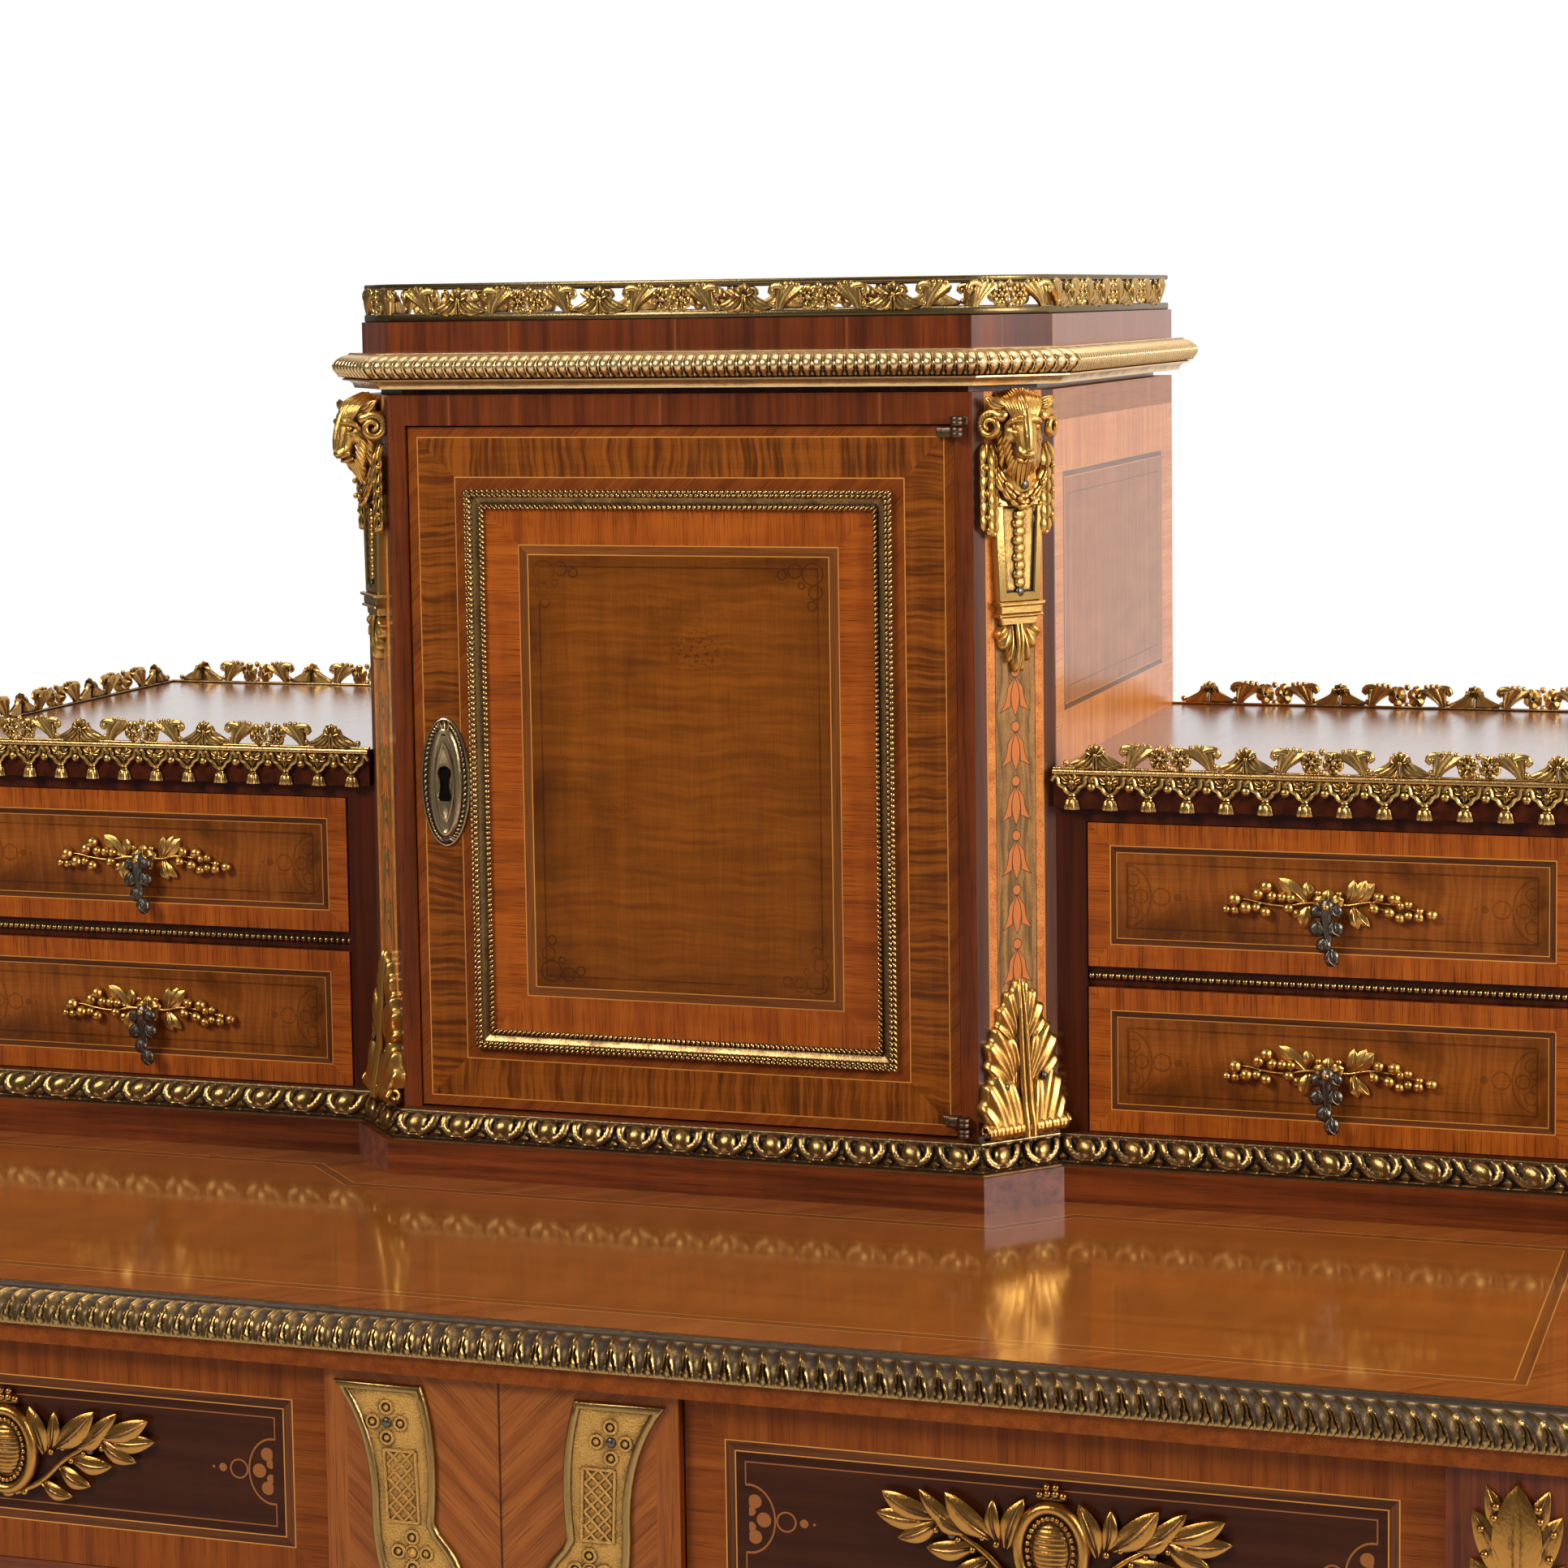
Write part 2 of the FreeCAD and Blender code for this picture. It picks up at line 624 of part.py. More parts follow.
# Cresting of a wing: a base rail with scrolled arches rising from it, pierced under each arch
def crest(path, first, second):
    length = run_length(path, first, second)
    count = max(1, round(length / crest_pitch))
    step = length / count
    base = z_wing + gallery_rail
    peak = z_wing + crest_height
    points = [(0, z_wing), (length, z_wing), (length, base)]
    scroll = [(0.92, 0.0), (0.88, 0.5), (0.72, 0.42), (0.50, 1.0)]
    arch = scroll + [(1 - share, rise) for share, rise in reversed(scroll[:-1])]
    for number in reversed(range(count)):
        points += [((number + share) * step, base + rise * (peak - base)) for share, rise in arch]
    points.append((0, base))
    panel = upright(path, first, second, False, points, gallery_thickness)
    for middle in [(number + 0.5) * step for number in range(count)]:
        half = 0.24 * step
        eye = [(middle - half, base), (middle + half, base), (middle, base + 0.5 * (peak - base))]
        panel = panel.cut(upright(path, first, second, False, eye, gallery_thickness))
    return panel


# Fringe below the cresting: a strip with a tassel hanging at each pitch
def fringe(path, first, second):
    length = run_length(path, first, second)
    count = max(1, round(length / fringe_pitch))
    step = length / count
    top = z_wing - gallery_rail / 2
    strip = top - 0.52 * fringe_height
    low = top - fringe_height
    points = [(0, top), (0, strip)]
    for number in range(count):
        s = (number + 0.5) * step
        neck_half = 0.09 * step
        skirt_half = 0.22 * step
        points += [(s - neck_half, strip - 0.1 * fringe_height), (s - skirt_half, low), (s + skirt_half, low),
                   (s + neck_half, strip - 0.1 * fringe_height), (s + 0.5 * step, strip)]
    points.append((length, top))
    return upright(path, first, second, False, points, fringe_thickness)


crest_out = wing_top_out - crest_setback
crest_path = [(wing_in, y_wing_top + crest_setback), (crest_out, y_wing_top + crest_setback),
              (crest_out, y_rear - crest_setback), (wing_in, y_rear - crest_setback)]
fringe_out = wing_top_out + fringe_thickness
y_fringe = y_wing_top - fringe_thickness
fringe_path = [(wing_in, y_fringe), (fringe_out, y_fringe), (fringe_out, y_rear)]
wing_crests = [crest(crest_path, first, second) for first, second in runs(crest_path)]
wing_fringes = [fringe(fringe_path, first, second) for first, second in runs(fringe_path)]
save("wing_galleries", *pair(wing_crests + wing_fringes))


# A drawer is a front and a box of two sides, a back and a bottom
def drawer_box(x0, x1, y0, y1, z0, z1, side, bottom):
    sides = [box(x0, x0 + side, y0, y1, z0, z1), box(x1 - side, x1, y0, y1, z0, z1)]
    back = box(x0 + side, x1 - side, y1 - side, y1, z0, z1)
    base = box(x0 + side, x1 - side, y0, y1 - side, z0, z0 + bottom)
    return sides + [back, base]


# One side of a cast spray lying against a front face: its outline is in shares of its reach and rise
def sprig(x, y, z, side, outline, reach, rise, thick):
    return slab([V(x + side * reach * out, y, z + rise * up) for out, up in outline], V(0, -thick, 0))


def rod(x, y, z, radius, length):
    return Part.makeCylinder(radius, length, V(x, y, z), V(0, -1, 0))


# Round boss or berry, cut with six sides
def berry(x, y, z, radius, length):
    turns = [math.radians(60 * corner) for corner in range(6)]
    rim = [V(x + radius * math.cos(turn), y, z + radius * math.sin(turn)) for turn in turns]
    return slab(rim, V(0, -length, 0))


# Berry spray of a wing drawer: a boss with two berried branches, and a pin for the drop
branch = [(0.0, 0.30), (0.20, 0.62), (0.32, 0.28), (0.46, 0.50), (0.58, 0.24), (0.72, 0.36), (0.84, 0.14),
          (1.0, 0.06), (0.98, -0.12), (0.80, -0.12), (0.66, -0.36), (0.52, -0.16), (0.36, -0.52),
          (0.22, -0.26), (0.0, -0.30)]


def spray(x, y, z):
    whole = berry(x, y, z, pull_boss_radius, spray_thick)
    for side in (-1, 1):
        whole = whole.fuse(sprig(x, y, z, side, branch, spray_length / 2, spray_height, spray_thick * 0.7))
    reach = spray_thick + 2 * drop_gap + drop_thick
    whole = whole.fuse(rod(x, y, z, drop_pin_radius, reach + drop_head))
    return whole.fuse(rod(x, y - reach, z, drop_head_radius, drop_head)).removeSplitter()


# Bud drop: an eye on the pin and a cluster that swells below it
def drop(x, y, z):
    front = y - spray_thick - drop_gap
    stem = [(drop_width * 0.32, 0.0), (drop_width * 0.5, -0.35), (drop_width * 0.34, -0.62)]
    right = [V(x + half, front, z + share * drop_length) for half, share in stem]
    left = [V(x - half, front, z + share * drop_length) for half, share in reversed(stem)]
    tip = V(x, front, z - drop_length)
    crown = V(x, front, z + drop_width * 0.32)
    outline = [left[2], (crown, right[0]), right[1], right[2], tip, left[0], left[1]]
    cluster = slab(outline, V(0, -drop_thick, 0))
    return cluster.cut(rod(x, front, z, drop_pin_radius + pin_clearance, drop_thick))


front_in = drawer_bay_in + door_gap
front_out = drawer_bay_out - door_gap
y_front_face = y_wing - drawer_proud
y_box = y_front_face + front_thickness
upper_height = z_wing_rail - z_upper - 2 * slide_gap
wing_levels = [("lower", z_wing_floor + slide_gap, lower_drawer_height),
               ("upper", z_upper + slide_gap, upper_height)]
for level, z0, height in wing_levels:
    z1 = z0 + height
    pull = ((front_in + front_out) / 2, y_front_face, (z0 + z1) / 2)
    pieces = {
        "wing_drawer_front": [box(front_in, front_out, y_front_face, y_box, z0, z1)],
        "wing_drawer_box": drawer_box(front_in, front_out, y_box, y_inside - drawer_back_gap, z0,
                                      z1 - front_thickness, drawer_side, drawer_bottom),
        "pull_spray": [spray(*pull)],
        "pull_drop": [drop(*pull)],
    }
    for name, solids in pieces.items():
        save(name + "_right_" + level, *solids)
        save(name + "_left_" + level, *[mirrored(solid) for solid in solids])


# Laurel and medallion mount of a frieze drawer
laurel_branch = [(0.0, 0.22), (0.16, 0.30), (0.30, 0.68), (0.36, 0.26), (0.58, 0.52), (0.62, 0.18),
                 (0.96, 0.26), (1.0, 0.06), (0.72, -0.04), (0.84, -0.32), (0.52, -0.14), (0.50, -0.50),
                 (0.28, -0.20), (0.0, -0.24)]


def laurel(x, y, z):
    medal = oval(x, y, z, medal_wide, medal_tall, medal_deep)
    for side in (-1, 1):
        medal = medal.fuse(sprig(x, y, z, side, laurel_branch, laurel_reach, medal_tall, laurel_thick))
    return medal


frieze_in = centre_half + door_gap
frieze_out = leg_in - door_gap
z_drawer = z_rail + slide_gap
z_drawer_top = z_under - frieze_top_gap
y_frieze_box = y_panel + frieze_front_thickness
frieze_pieces = {
    "frieze_drawer_front": [box(frieze_in, frieze_out, y_panel, y_frieze_box, z_drawer, z_drawer_top)],
    "frieze_drawer_box": drawer_box(frieze_in, frieze_out, y_frieze_box, y_frieze_inside - frieze_back_gap,
                                    z_drawer, z_drawer_top - frieze_front_thickness, frieze_box_side,
                                    drawer_bottom),
    "laurel_mount": [laurel((frieze_in + frieze_out) / 2, y_panel, (z_drawer + z_drawer_top) / 2)],
}
for name, solids in frieze_pieces.items():
    save(name + "_right", *solids)
    save(name + "_left", *[mirrored(solid) for solid in solids])

# Strap mounts on the centre block: broad at the top, waisted, swelling towards the middle below
z_strap_top = z_under - strap_top_gap
z_strap = z_frieze + strap_bottom_gap
strap_high = z_strap_top - z_strap


def strap_point(out, share):
    return V(strap_reach * out, y_block, z_strap + strap_high * share)


strap_points = [
    strap_point(0.46, 1.0), strap_point(1.0, 1.0),
    (strap_point(0.82, 0.78), strap_point(0.78, 0.5)),
    (strap_point(0.76, 0.25), strap_point(0.68, 0.06)), strap_point(0.54, 0.0),
    strap_point(0.32, 0.04), (strap_point(0.23, 0.18), strap_point(0.37, 0.36)),
    strap_point(0.40, 0.40), (strap_point(0.39, 0.72), strap_point(0.46, 1.0)),
]
save("strap_mounts", *pair([slab(strap_points, V(0, -strap_thick, 0))]))


# Carved mounts are built upright on the XZ plane, facing -Y, then set on their face
def section(x, z, wide, deep):
    half = wide / 2
    corners = [(-1.0, 0.0), (1.0, 0.0), (1.0, 0.45), (0.5, 1.0), (-0.5, 1.0), (-1.0, 0.45)]
    return [V(x + half * across, -deep * out, z) for across, out in corners]


def facet(*corners):
    return Part.Face(Part.makePolygon(list(corners) + [corners[0]]))


# Carved swelling: flat facets between half-round sections, from its top to its foot
def swell(*sections):
    rings = [section(*spec) for spec in sections]
    facets = [facet(*rings[0]), facet(*rings[-1])]
    for near, far in zip(rings, rings[1:]):
        for first in range(len(near)):
            second = (first + 1) % len(near)
            facets.append(facet(near[first], near[second], far[second]))
            facets.append(facet(near[first], far[second], far[first]))
    solid = Part.Solid(Part.Shell(facets))
    return solid if solid.Volume > 0 else solid.reversed()


# Horn curled flat round its eye, cut in straight lengths
def horn_curl(eye, side, outer, inner):
    turns = [math.radians(turn) for turn in horn_turns]
    rim = [eye + V(side * outer * math.cos(turn), 0, outer * math.sin(turn)) for turn in turns]
    rim += [eye + V(side * inner * math.cos(turn), 0, inner * math.sin(turn)) for turn in reversed(turns)]
    return slab(rim, V(0, -horn_section * 1.5, 0))


# Ram's head over a tapering term with a drop leaf, as one casting
def ram_mount():
    head_low = -ram_head_tall
    head = swell((0, 0, ram_head_wide * 0.8, ram_head_deep * 0.35),
                 (0, head_low * 0.22, ram_head_wide * 1.2, ram_head_deep * 0.62),
                 (0, head_low * 0.55, ram_head_wide, ram_head_deep * 0.82),
                 (0, head_low * 0.85, ram_head_wide * 0.62, ram_head_deep),
                 (0, head_low, ram_head_wide * 0.5, ram_head_deep * 0.75))
    whole = head
    for side in (-1, 1):
        eye = V(side * (ram_head_wide / 2 + horn_radius * 0.4), 0, head_low * 0.34)
        horn = horn_curl(eye, side, horn_radius + horn_section / 2, horn_radius - horn_section / 2)
        ball = berry(eye.x, 0, eye.z, horn_section, 2 * horn_section)
        lock = swell((side * ram_head_wide * 0.62, head_low * 0.5, lock_wide * 0.82, lock_deep),
                     (side * ram_head_wide * 0.66, head_low * 1.1, lock_wide, lock_deep * 0.86),
                     (side * ram_head_wide * 0.58, head_low * 1.9, lock_wide * 0.64, lock_deep * 0.72))
        whole = whole.fuse(horn).fuse(ball).fuse(lock)
    term_low = head_low - term_tall
    term = swell((0, head_low * 0.9, term_top, term_deep), (0, term_low, term_bottom, term_deep * 0.9))
    block_half = term_block_wide / 2
    block = box(-block_half, block_half, -term_block_deep, 0, term_low - term_block * 0.45, term_low)
    foot = swell((0, term_low - term_block * 0.45, term_block_wide * 0.9, term_deep),
                 (0, term_low - term_block, term_block_wide * 0.72, term_deep * 0.8))
    leaf_top = term_low - term_block
    tip = swell((0, leaf_top, term_leaf_wide * 0.7, term_leaf_deep * 0.8),
                (0, leaf_top - term_leaf * 0.4, term_leaf_wide, term_leaf_deep),
                (0, leaf_top - term_leaf, term_leaf_wide * 0.16, term_leaf_deep * 0.33))
    whole = whole.fuse(term).fuse(block).fuse(foot).fuse(tip)
    spread = 3 * ram_head_wide
    behind = box(-spread, spread, 0, ram_head_deep, leaf_top - 2 * term_leaf, ram_head_tall)
    return whole.cut(behind)


# Acanthus leaf with a rolled foot
def acanthus(tall, wide, deep):
    blade = swell((0, 0, wide, deep), (0, tall * 0.28, wide * 0.82, deep * 0.62),
                  (0, tall * 0.6, wide * 0.55, deep * 0.45), (0, tall, wide * 0.1, deep * 0.2))
    for side in (-1, 1):
        lobe = swell((side * wide * 0.30, tall * 0.08, wide * 0.3, deep * 0.6),
                     (side * wide * 0.36, tall * 0.34, wide * 0.26, deep * 0.5),
                     (side * wide * 0.30, tall * 0.52, wide * 0.08, deep * 0.2))
        blade = blade.fuse(lobe)
    return blade


cant_angle = math.degrees(math.atan2(y_wing - y_cabinet, cabinet_cant_x))
cant_middle = V((cabinet_flat + cabinet_half) / 2, (y_cabinet + y_wing) / 2, 0)


def on_cant(shape, z):
    placed = shape.copy()
    placed.rotate(V(0, 0, 0), V(0, 0, 1), cant_angle)
    placed.translate(cant_middle + V(0, 0, z))
    return placed


save("ram_mounts", *pair([on_cant(ram_mount(), z_cabinet - ram_top_gap)]))
save("acanthus_mounts", *pair([on_cant(acanthus(acanthus_tall, acanthus_wide, acanthus_deep), z_floor)]))
leg_leaf = acanthus(leg_leaf_tall, leg_leaf_wide, leg_leaf_deep)
leg_leaf.rotate(V(0, 0, 0), V(0, 1, 0), 180)
leg_leaf.translate(V(leg_mid, y_block, z_under - strap_top_gap))
save("leg_leaf_mounts", *pair([leg_leaf]))
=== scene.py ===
import math

import bmesh
import bpy
from mathutils import Matrix, Vector


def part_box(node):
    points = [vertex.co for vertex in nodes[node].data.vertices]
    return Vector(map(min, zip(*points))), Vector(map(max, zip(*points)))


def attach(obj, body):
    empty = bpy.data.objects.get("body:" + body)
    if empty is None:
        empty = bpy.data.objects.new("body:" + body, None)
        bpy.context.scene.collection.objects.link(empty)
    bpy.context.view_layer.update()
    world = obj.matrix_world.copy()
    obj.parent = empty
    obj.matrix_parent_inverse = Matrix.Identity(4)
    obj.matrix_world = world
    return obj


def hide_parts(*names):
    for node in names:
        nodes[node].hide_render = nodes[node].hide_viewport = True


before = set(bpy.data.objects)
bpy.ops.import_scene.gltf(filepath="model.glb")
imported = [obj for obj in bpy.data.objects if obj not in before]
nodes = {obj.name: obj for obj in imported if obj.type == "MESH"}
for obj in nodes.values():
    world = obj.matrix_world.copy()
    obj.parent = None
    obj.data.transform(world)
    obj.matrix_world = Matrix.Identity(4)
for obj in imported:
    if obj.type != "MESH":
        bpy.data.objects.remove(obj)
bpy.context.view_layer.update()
mm = 0.001
hands = ("left", "right")
levels = ("lower", "upper")
cabinet = {"half": 191.5, "flat": 159.6, "front": -34.6, "wing": 4.7}    # corners of the centre part, in plan


def millimetres(node):    # a node's box, in millimetres
    low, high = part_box(node)
    return low / mm, high / mm


def frontOf(node):    # the spans of its front, across and up
    low, high = millimetres(node)
    return (low.x, high.x), (low.z, high.z)


# Shader maths

def operator(operation, swapped=False):    # a Math node for one operator
    def work(self, other=0):
        first, second = (other, self) if swapped else (self, other)
        return self.node("Math", {"operation": operation}, {0: first, 1: second})
    return work


class Thread:
    __add__ = __radd__ = operator("ADD")
    __mul__ = __rmul__ = operator("MULTIPLY")
    __sub__, __rsub__ = operator("SUBTRACT"), operator("SUBTRACT", True)
    __truediv__, __pow__ = operator("DIVIDE"), operator("POWER")
    __gt__, __lt__ = operator("GREATER_THAN"), operator("LESS_THAN")
    __abs__, root = operator("ABSOLUTE"), operator("SQRT")
    least, most = operator("MINIMUM"), operator("MAXIMUM")
    floor, fract, cycle = operator("FLOOR"), operator("FRACT"), operator("FLOORED_MODULO")

    def __init__(self, tree, socket=None):
        self.tree = tree
        self.socket = socket

    def feed(self, socket, value):    # a link, a colour or a plain value
        if isinstance(value, Thread):
            self.tree.links.new(value.socket, socket)
        else:
            socket.default_value = (*value, 1) if isinstance(value, tuple) else value

    def node(self, kind, settings=None, inputs=None, out=0):
        made = self.tree.nodes.new("ShaderNode" + kind)
        for name, value in (settings or {}).items():
            setattr(made, name, value)
        for name, value in (inputs or {}).items():
            self.feed(made.inputs[name], value)
        return Thread(self.tree, made.outputs[out])

    def shade(self, shader, **values):
        for name, value in values.items():
            self.feed(shader.inputs[name.replace("_", " ")], value)

    def ramp(self, low, high, first=0, last=1):
        return self.node("MapRange", {"interpolation_type": "SMOOTHSTEP"},
                         {"Value": self, 1: low, 2: high, 3: first, 4: last})

    def mix(self, mask, first, second):
        return self.node("Mix", {"data_type": "RGBA"}, {0: mask, 6: first, 7: second}, 2)

    def noise(self, x, y, z, detail=3, rough=0.55, twist=0):
        place = self.node("CombineXYZ", None, {0: x, 1: y, 2: z})
        return self.node("TexNoise", None, {"Vector": place, "Scale": 1, "Detail": detail, "Roughness": rough,
                                            "Distortion": twist})

    def split(self, kind):    # the three parts of a texture coordinate
        whole = self.node("TexCoord", None, None, kind)
        return [self.node("SeparateXYZ", None, {0: whole}, axis) for axis in range(3)]

    def places(self):    # object coordinates in millimetres
        return [axis * 1000 for axis in self.split("Object")]


def startFinish(name):
    material = bpy.data.materials.new(name)
    material.use_nodes = True
    tree = material.node_tree
    tree.nodes.clear()
    result = tree.nodes.new("ShaderNodeOutputMaterial")
    shader = tree.nodes.new("ShaderNodeBsdfPrincipled")
    tree.links.new(shader.outputs[0], result.inputs[0])
    return material, Thread(tree), shader


# Woods: dark and light tone, share of streaks and curl, pitch of the curl, pores
woodParts = ("dark", "light", "streak", "curl", "figure", "pore")
woods = {name: dict(zip(woodParts, parts)) for name, *parts in (
    ("mahogany", (0.052, 0.009, 0.001), (0.19, 0.038, 0.006), 1, 0.12, 0.1, 0.5),
    # a darker mahogany: painted shade for the wing cases
    ("shaded", (0.02, 0.003, 0.0006), (0.075, 0.012, 0.0016), 1, 0.1, 0.1, 0.4),
    ("shadow", (0.022, 0.0045, 0.0012), (0.052, 0.0125, 0.0032), 0.6, 0.1, 0.12, 0.4),
    ("tulip", (0.122, 0.023, 0.002), (0.245, 0.057, 0.0065), 0.8, 0.1, 0.12, 0.5),
    ("chevron", (0.165, 0.038, 0.006), (0.315, 0.09, 0.014), 0.8, 0.1, 0.12, 0.5),
    ("fiddle", (0.085, 0.019, 0.0012), (0.25, 0.064, 0.006), 0.3, 1.15, 0.42, 0.2),
    ("kingwood", (0.195, 0.036, 0.003), (0.39, 0.09, 0.0085), 0.75, 0.25, 0.12, 0.65),
    ("walnut", (0.115, 0.033, 0.006), (0.22, 0.066, 0.012), 0.9, 0, 0.1, 0.5),
    ("rosewood", (0.04, 0.012, 0.004), (0.125, 0.036, 0.009), 1.4, 0, 0.1, 0.5),
    ("string", (0.4, 0.14, 0.02), (0.6, 0.25, 0.046), 0.6, 0, 0.1, 0.1),
    ("panel", (0.112, 0.027, 0.0012), (0.236, 0.064, 0.005), 0.3, 0.5, 0.3, 0.25),
    ("curly", (0.165, 0.039, 0.004), (0.325, 0.09, 0.011), 0.25, 0.7, 0.36, 0.25),
    ("satin", (0.46, 0.135, 0.023), (0.7, 0.24, 0.05), 0.7, 0.25, 0.12, 0.35),
    ("honey", (0.25, 0.072, 0.011), (0.41, 0.135, 0.026), 0.5, 0.3, 0.08, 0.3),
    ("amber", (0.165, 0.043, 0.0042), (0.3, 0.085, 0.0112), 0.35, 0.3, 0.06, 0.2),
    ("purple", (0.06, 0.02, 0.011), (0.13, 0.046, 0.024), 1, 0, 0.1, 0.4),
    ("stained", (0.135, 0.068, 0.019), (0.37, 0.172, 0.048), 0.4, 1.3, 0.34, 0.4),
    ("apricot", (0.46, 0.12, 0.02), (0.74, 0.26, 0.056), 0.9, 0.2, 0.4, 0.6),
    ("oak", (0.23, 0.13, 0.055), (0.4, 0.25, 0.12), 1, 0.1, 0.1, 0.6),
)}
# Marks in the wood's own colour, and two painted tints: a painted sheen for the canted corners and painted light for
# the side faces
stainsAndLight = {
    "pore": (0.03, 0.006, 0.001), "leaf": (0.055, 0.01, 0.002), "joint": (0.24, 0.062, 0.012),
    "cantSheen": (0.3, 0.19, 0.165), "sideLight": (0.3, 0.085, 0.008), "rim": (0.06, 0.014, 0.001),
    "pen": (0.035, 0.008, 0.001), "knot": (0.045, 0.008, 0.001), "seam": (0.02, 0.005, 0.002),
}


def grained(t, along, across, depth, dark, light, streak, curl, figure, pore):
    sway = t.noise(along * 0.018, across * 0.03, depth * 0.02, detail=2) * 9
    broad = t.noise(along * 0.004, across * 0.13, depth * 0.13, detail=5, rough=0.6, twist=0.3) - 0.5
    stripe = t.noise((along + sway) * figure, across * 0.022, depth * 0.02, detail=2, rough=0.5, twist=0.3) - 0.5
    fine = t.noise(along * 0.04, across * 1.7, depth * 1.7, detail=2, rough=0.5)
    tone = (broad * streak + stripe * curl) * 2 + 0.5
    colour = t.mix(tone.ramp(0, 1), dark, light)
    colour = t.mix(fine.ramp(0.52, 0.7) * pore, colour, stainsAndLight["pore"])
    return colour, tone, fine


def polish(t, shader, colour, tone, fine, gloss, shine):
    bump = t.node("Bump", None, {"Strength": 0.04, "Distance": 0.0003, "Height": fine})
    t.shade(shader, Base_Color=colour, Roughness=(0.5 - tone) * 0.06 + gloss, Normal=bump, IOR=1.5,
            Specular_IOR_Level=shine)


# run is the axis that the grain follows; leaves is the width of veneer leaves laid side by side
def plainWood(name, wood, run, gloss=0.3, shine=0.22, leaves=0, cantSheen=0, sideLight=0):
    material, t, shader = startFinish(name)
    axes = t.places()
    across, depth = [axis for index, axis in enumerate(axes) if index != run]
    colour, tone, fine = grained(t, axes[run], across, depth, **woods[wood])
    if leaves:
        place = (axes[0] + axes[1]) / leaves + 0.35
        leafTone = t.node("TexWhiteNoise", {"noise_dimensions": "1D"}, {"W": place.floor()})
        joint = abs(place.fract() - 0.5).ramp(0.488, 0.5)
        colour = t.mix(leafTone * 0.45, colour, stainsAndLight["leaf"])
        colour = t.mix(joint * 0.7, colour, stainsAndLight["joint"])
    if cantSheen:    # painted sheen: the canted corners painted pale where the grain is light
        nx, ny = t.split("Normal")[:2]
        pale = (abs(nx) * abs(ny)).ramp(0.3, 0.45, 0.03, 1) * tone.ramp(0, 1, 0.7, 1)
        colour = t.mix(pale * cantSheen, colour, stainsAndLight["cantSheen"])
    if sideLight:    # painted light: the side faces painted paler and more orange
        colour = t.mix(abs(t.split("Normal")[0]).ramp(0.85, 0.95) * sideLight, colour, stainsAndLight["sideLight"])
    polish(t, shader, colour, tone, fine, gloss, shine)
    return material


# Marquetry in bands that follow a rectangle: each band is (its outer line, wood, lie of the grain)
def banded(t, across, up, depth, rect, bands, extra=None, trim=None):
    (left, right), (low, high) = rect
    x = across - (left + right) / 2
    z = up - (low + high) / 2
    dx = (right - left) / 2 - abs(x)
    dz = (high - low) / 2 - abs(z)
    inset = dx.least(dz)
    if trim:
        inset = inset.least(trim(across, up))
    ends = dx < dz
    slope = math.sqrt(0.5)
    lies = {
        "cross": (z + ends * (x - z), x + ends * (z - x)),
        "along": (x + ends * (z - x), z + ends * (x - z)),
        "slant": ((x + z) * slope, (x - z) * slope),
        "vee": ((abs(x) + z) * slope, (abs(x) - z) * slope),
        "level": (x, z),
        "upright": (z, x),
    }
    values = dict(woods[bands[0][1]])
    run, side = lies[bands[0][2]]
    for line, wood, lie in bands[1:]:
        inside = inset > line
        nextRun, nextSide = lies[lie]
        run = run + inside * (nextRun - run)
        side = side + inside * (nextSide - side)
        for part, value in woods[wood].items():
            if part in ("dark", "light"):
                values[part] = t.mix(inside, values[part], value)
            else:
                values[part] = inside * (value - values[part]) + values[part]
    colour, tone, fine = grained(t, run, side, depth, **values)
    if extra:
        colour = extra(t, colour, x, z, inset)
    return colour, tone, fine


# A board whose one face carries marquetry; its other faces are plain wood
def marquetry(name, look, rect, bands, core="mahogany", gloss=0.26, shine=0.22, extra=None, trim=None, coat=None):
    material, t, shader = startFinish(name)
    x, y, z = t.places()
    nx, ny, nz = t.split("Normal")
    least = 0.5
    if look == "front":
        across, up, depth, front = x, z, y, 0 - ny
    elif look == "top":
        across, up, depth, front = x, y, z, nz
    elif look == "sides":
        across, up, depth, front = y, z, x, abs(nx)
    else:    # the canted corners
        half, flat, front, wing = [cabinet[part] for part in ("half", "flat", "front", "wing")]
        run = Vector((half - flat, wing - front)).normalized()
        across = (abs(x) - (half + flat) / 2) * run.x + (y - (wing + front) / 2) * run.y
        up, depth, front, least = z, y, (abs(nx) - ny) * 0.7, 0.85
    colour, tone, fine = banded(t, across, up, depth, rect, bands, extra, trim)
    lie = (depth, across + up) if look == "top" else (up, across)
    mask = front > least
    colour = t.mix(mask, grained(t, *lie, depth, **woods[core])[0], colour)
    if coat:    # a high polish on the marquetry alone
        t.shade(shader, Coat_Weight=mask, Coat_Roughness=coat[0], Coat_IOR=coat[1])
    polish(t, shader, colour, tone, fine, gloss, shine)
    return material


def dress(material, *names):
    for name in names:
        node = nodes[name]
        node.data.materials.clear()
        node.data.materials.append(material)


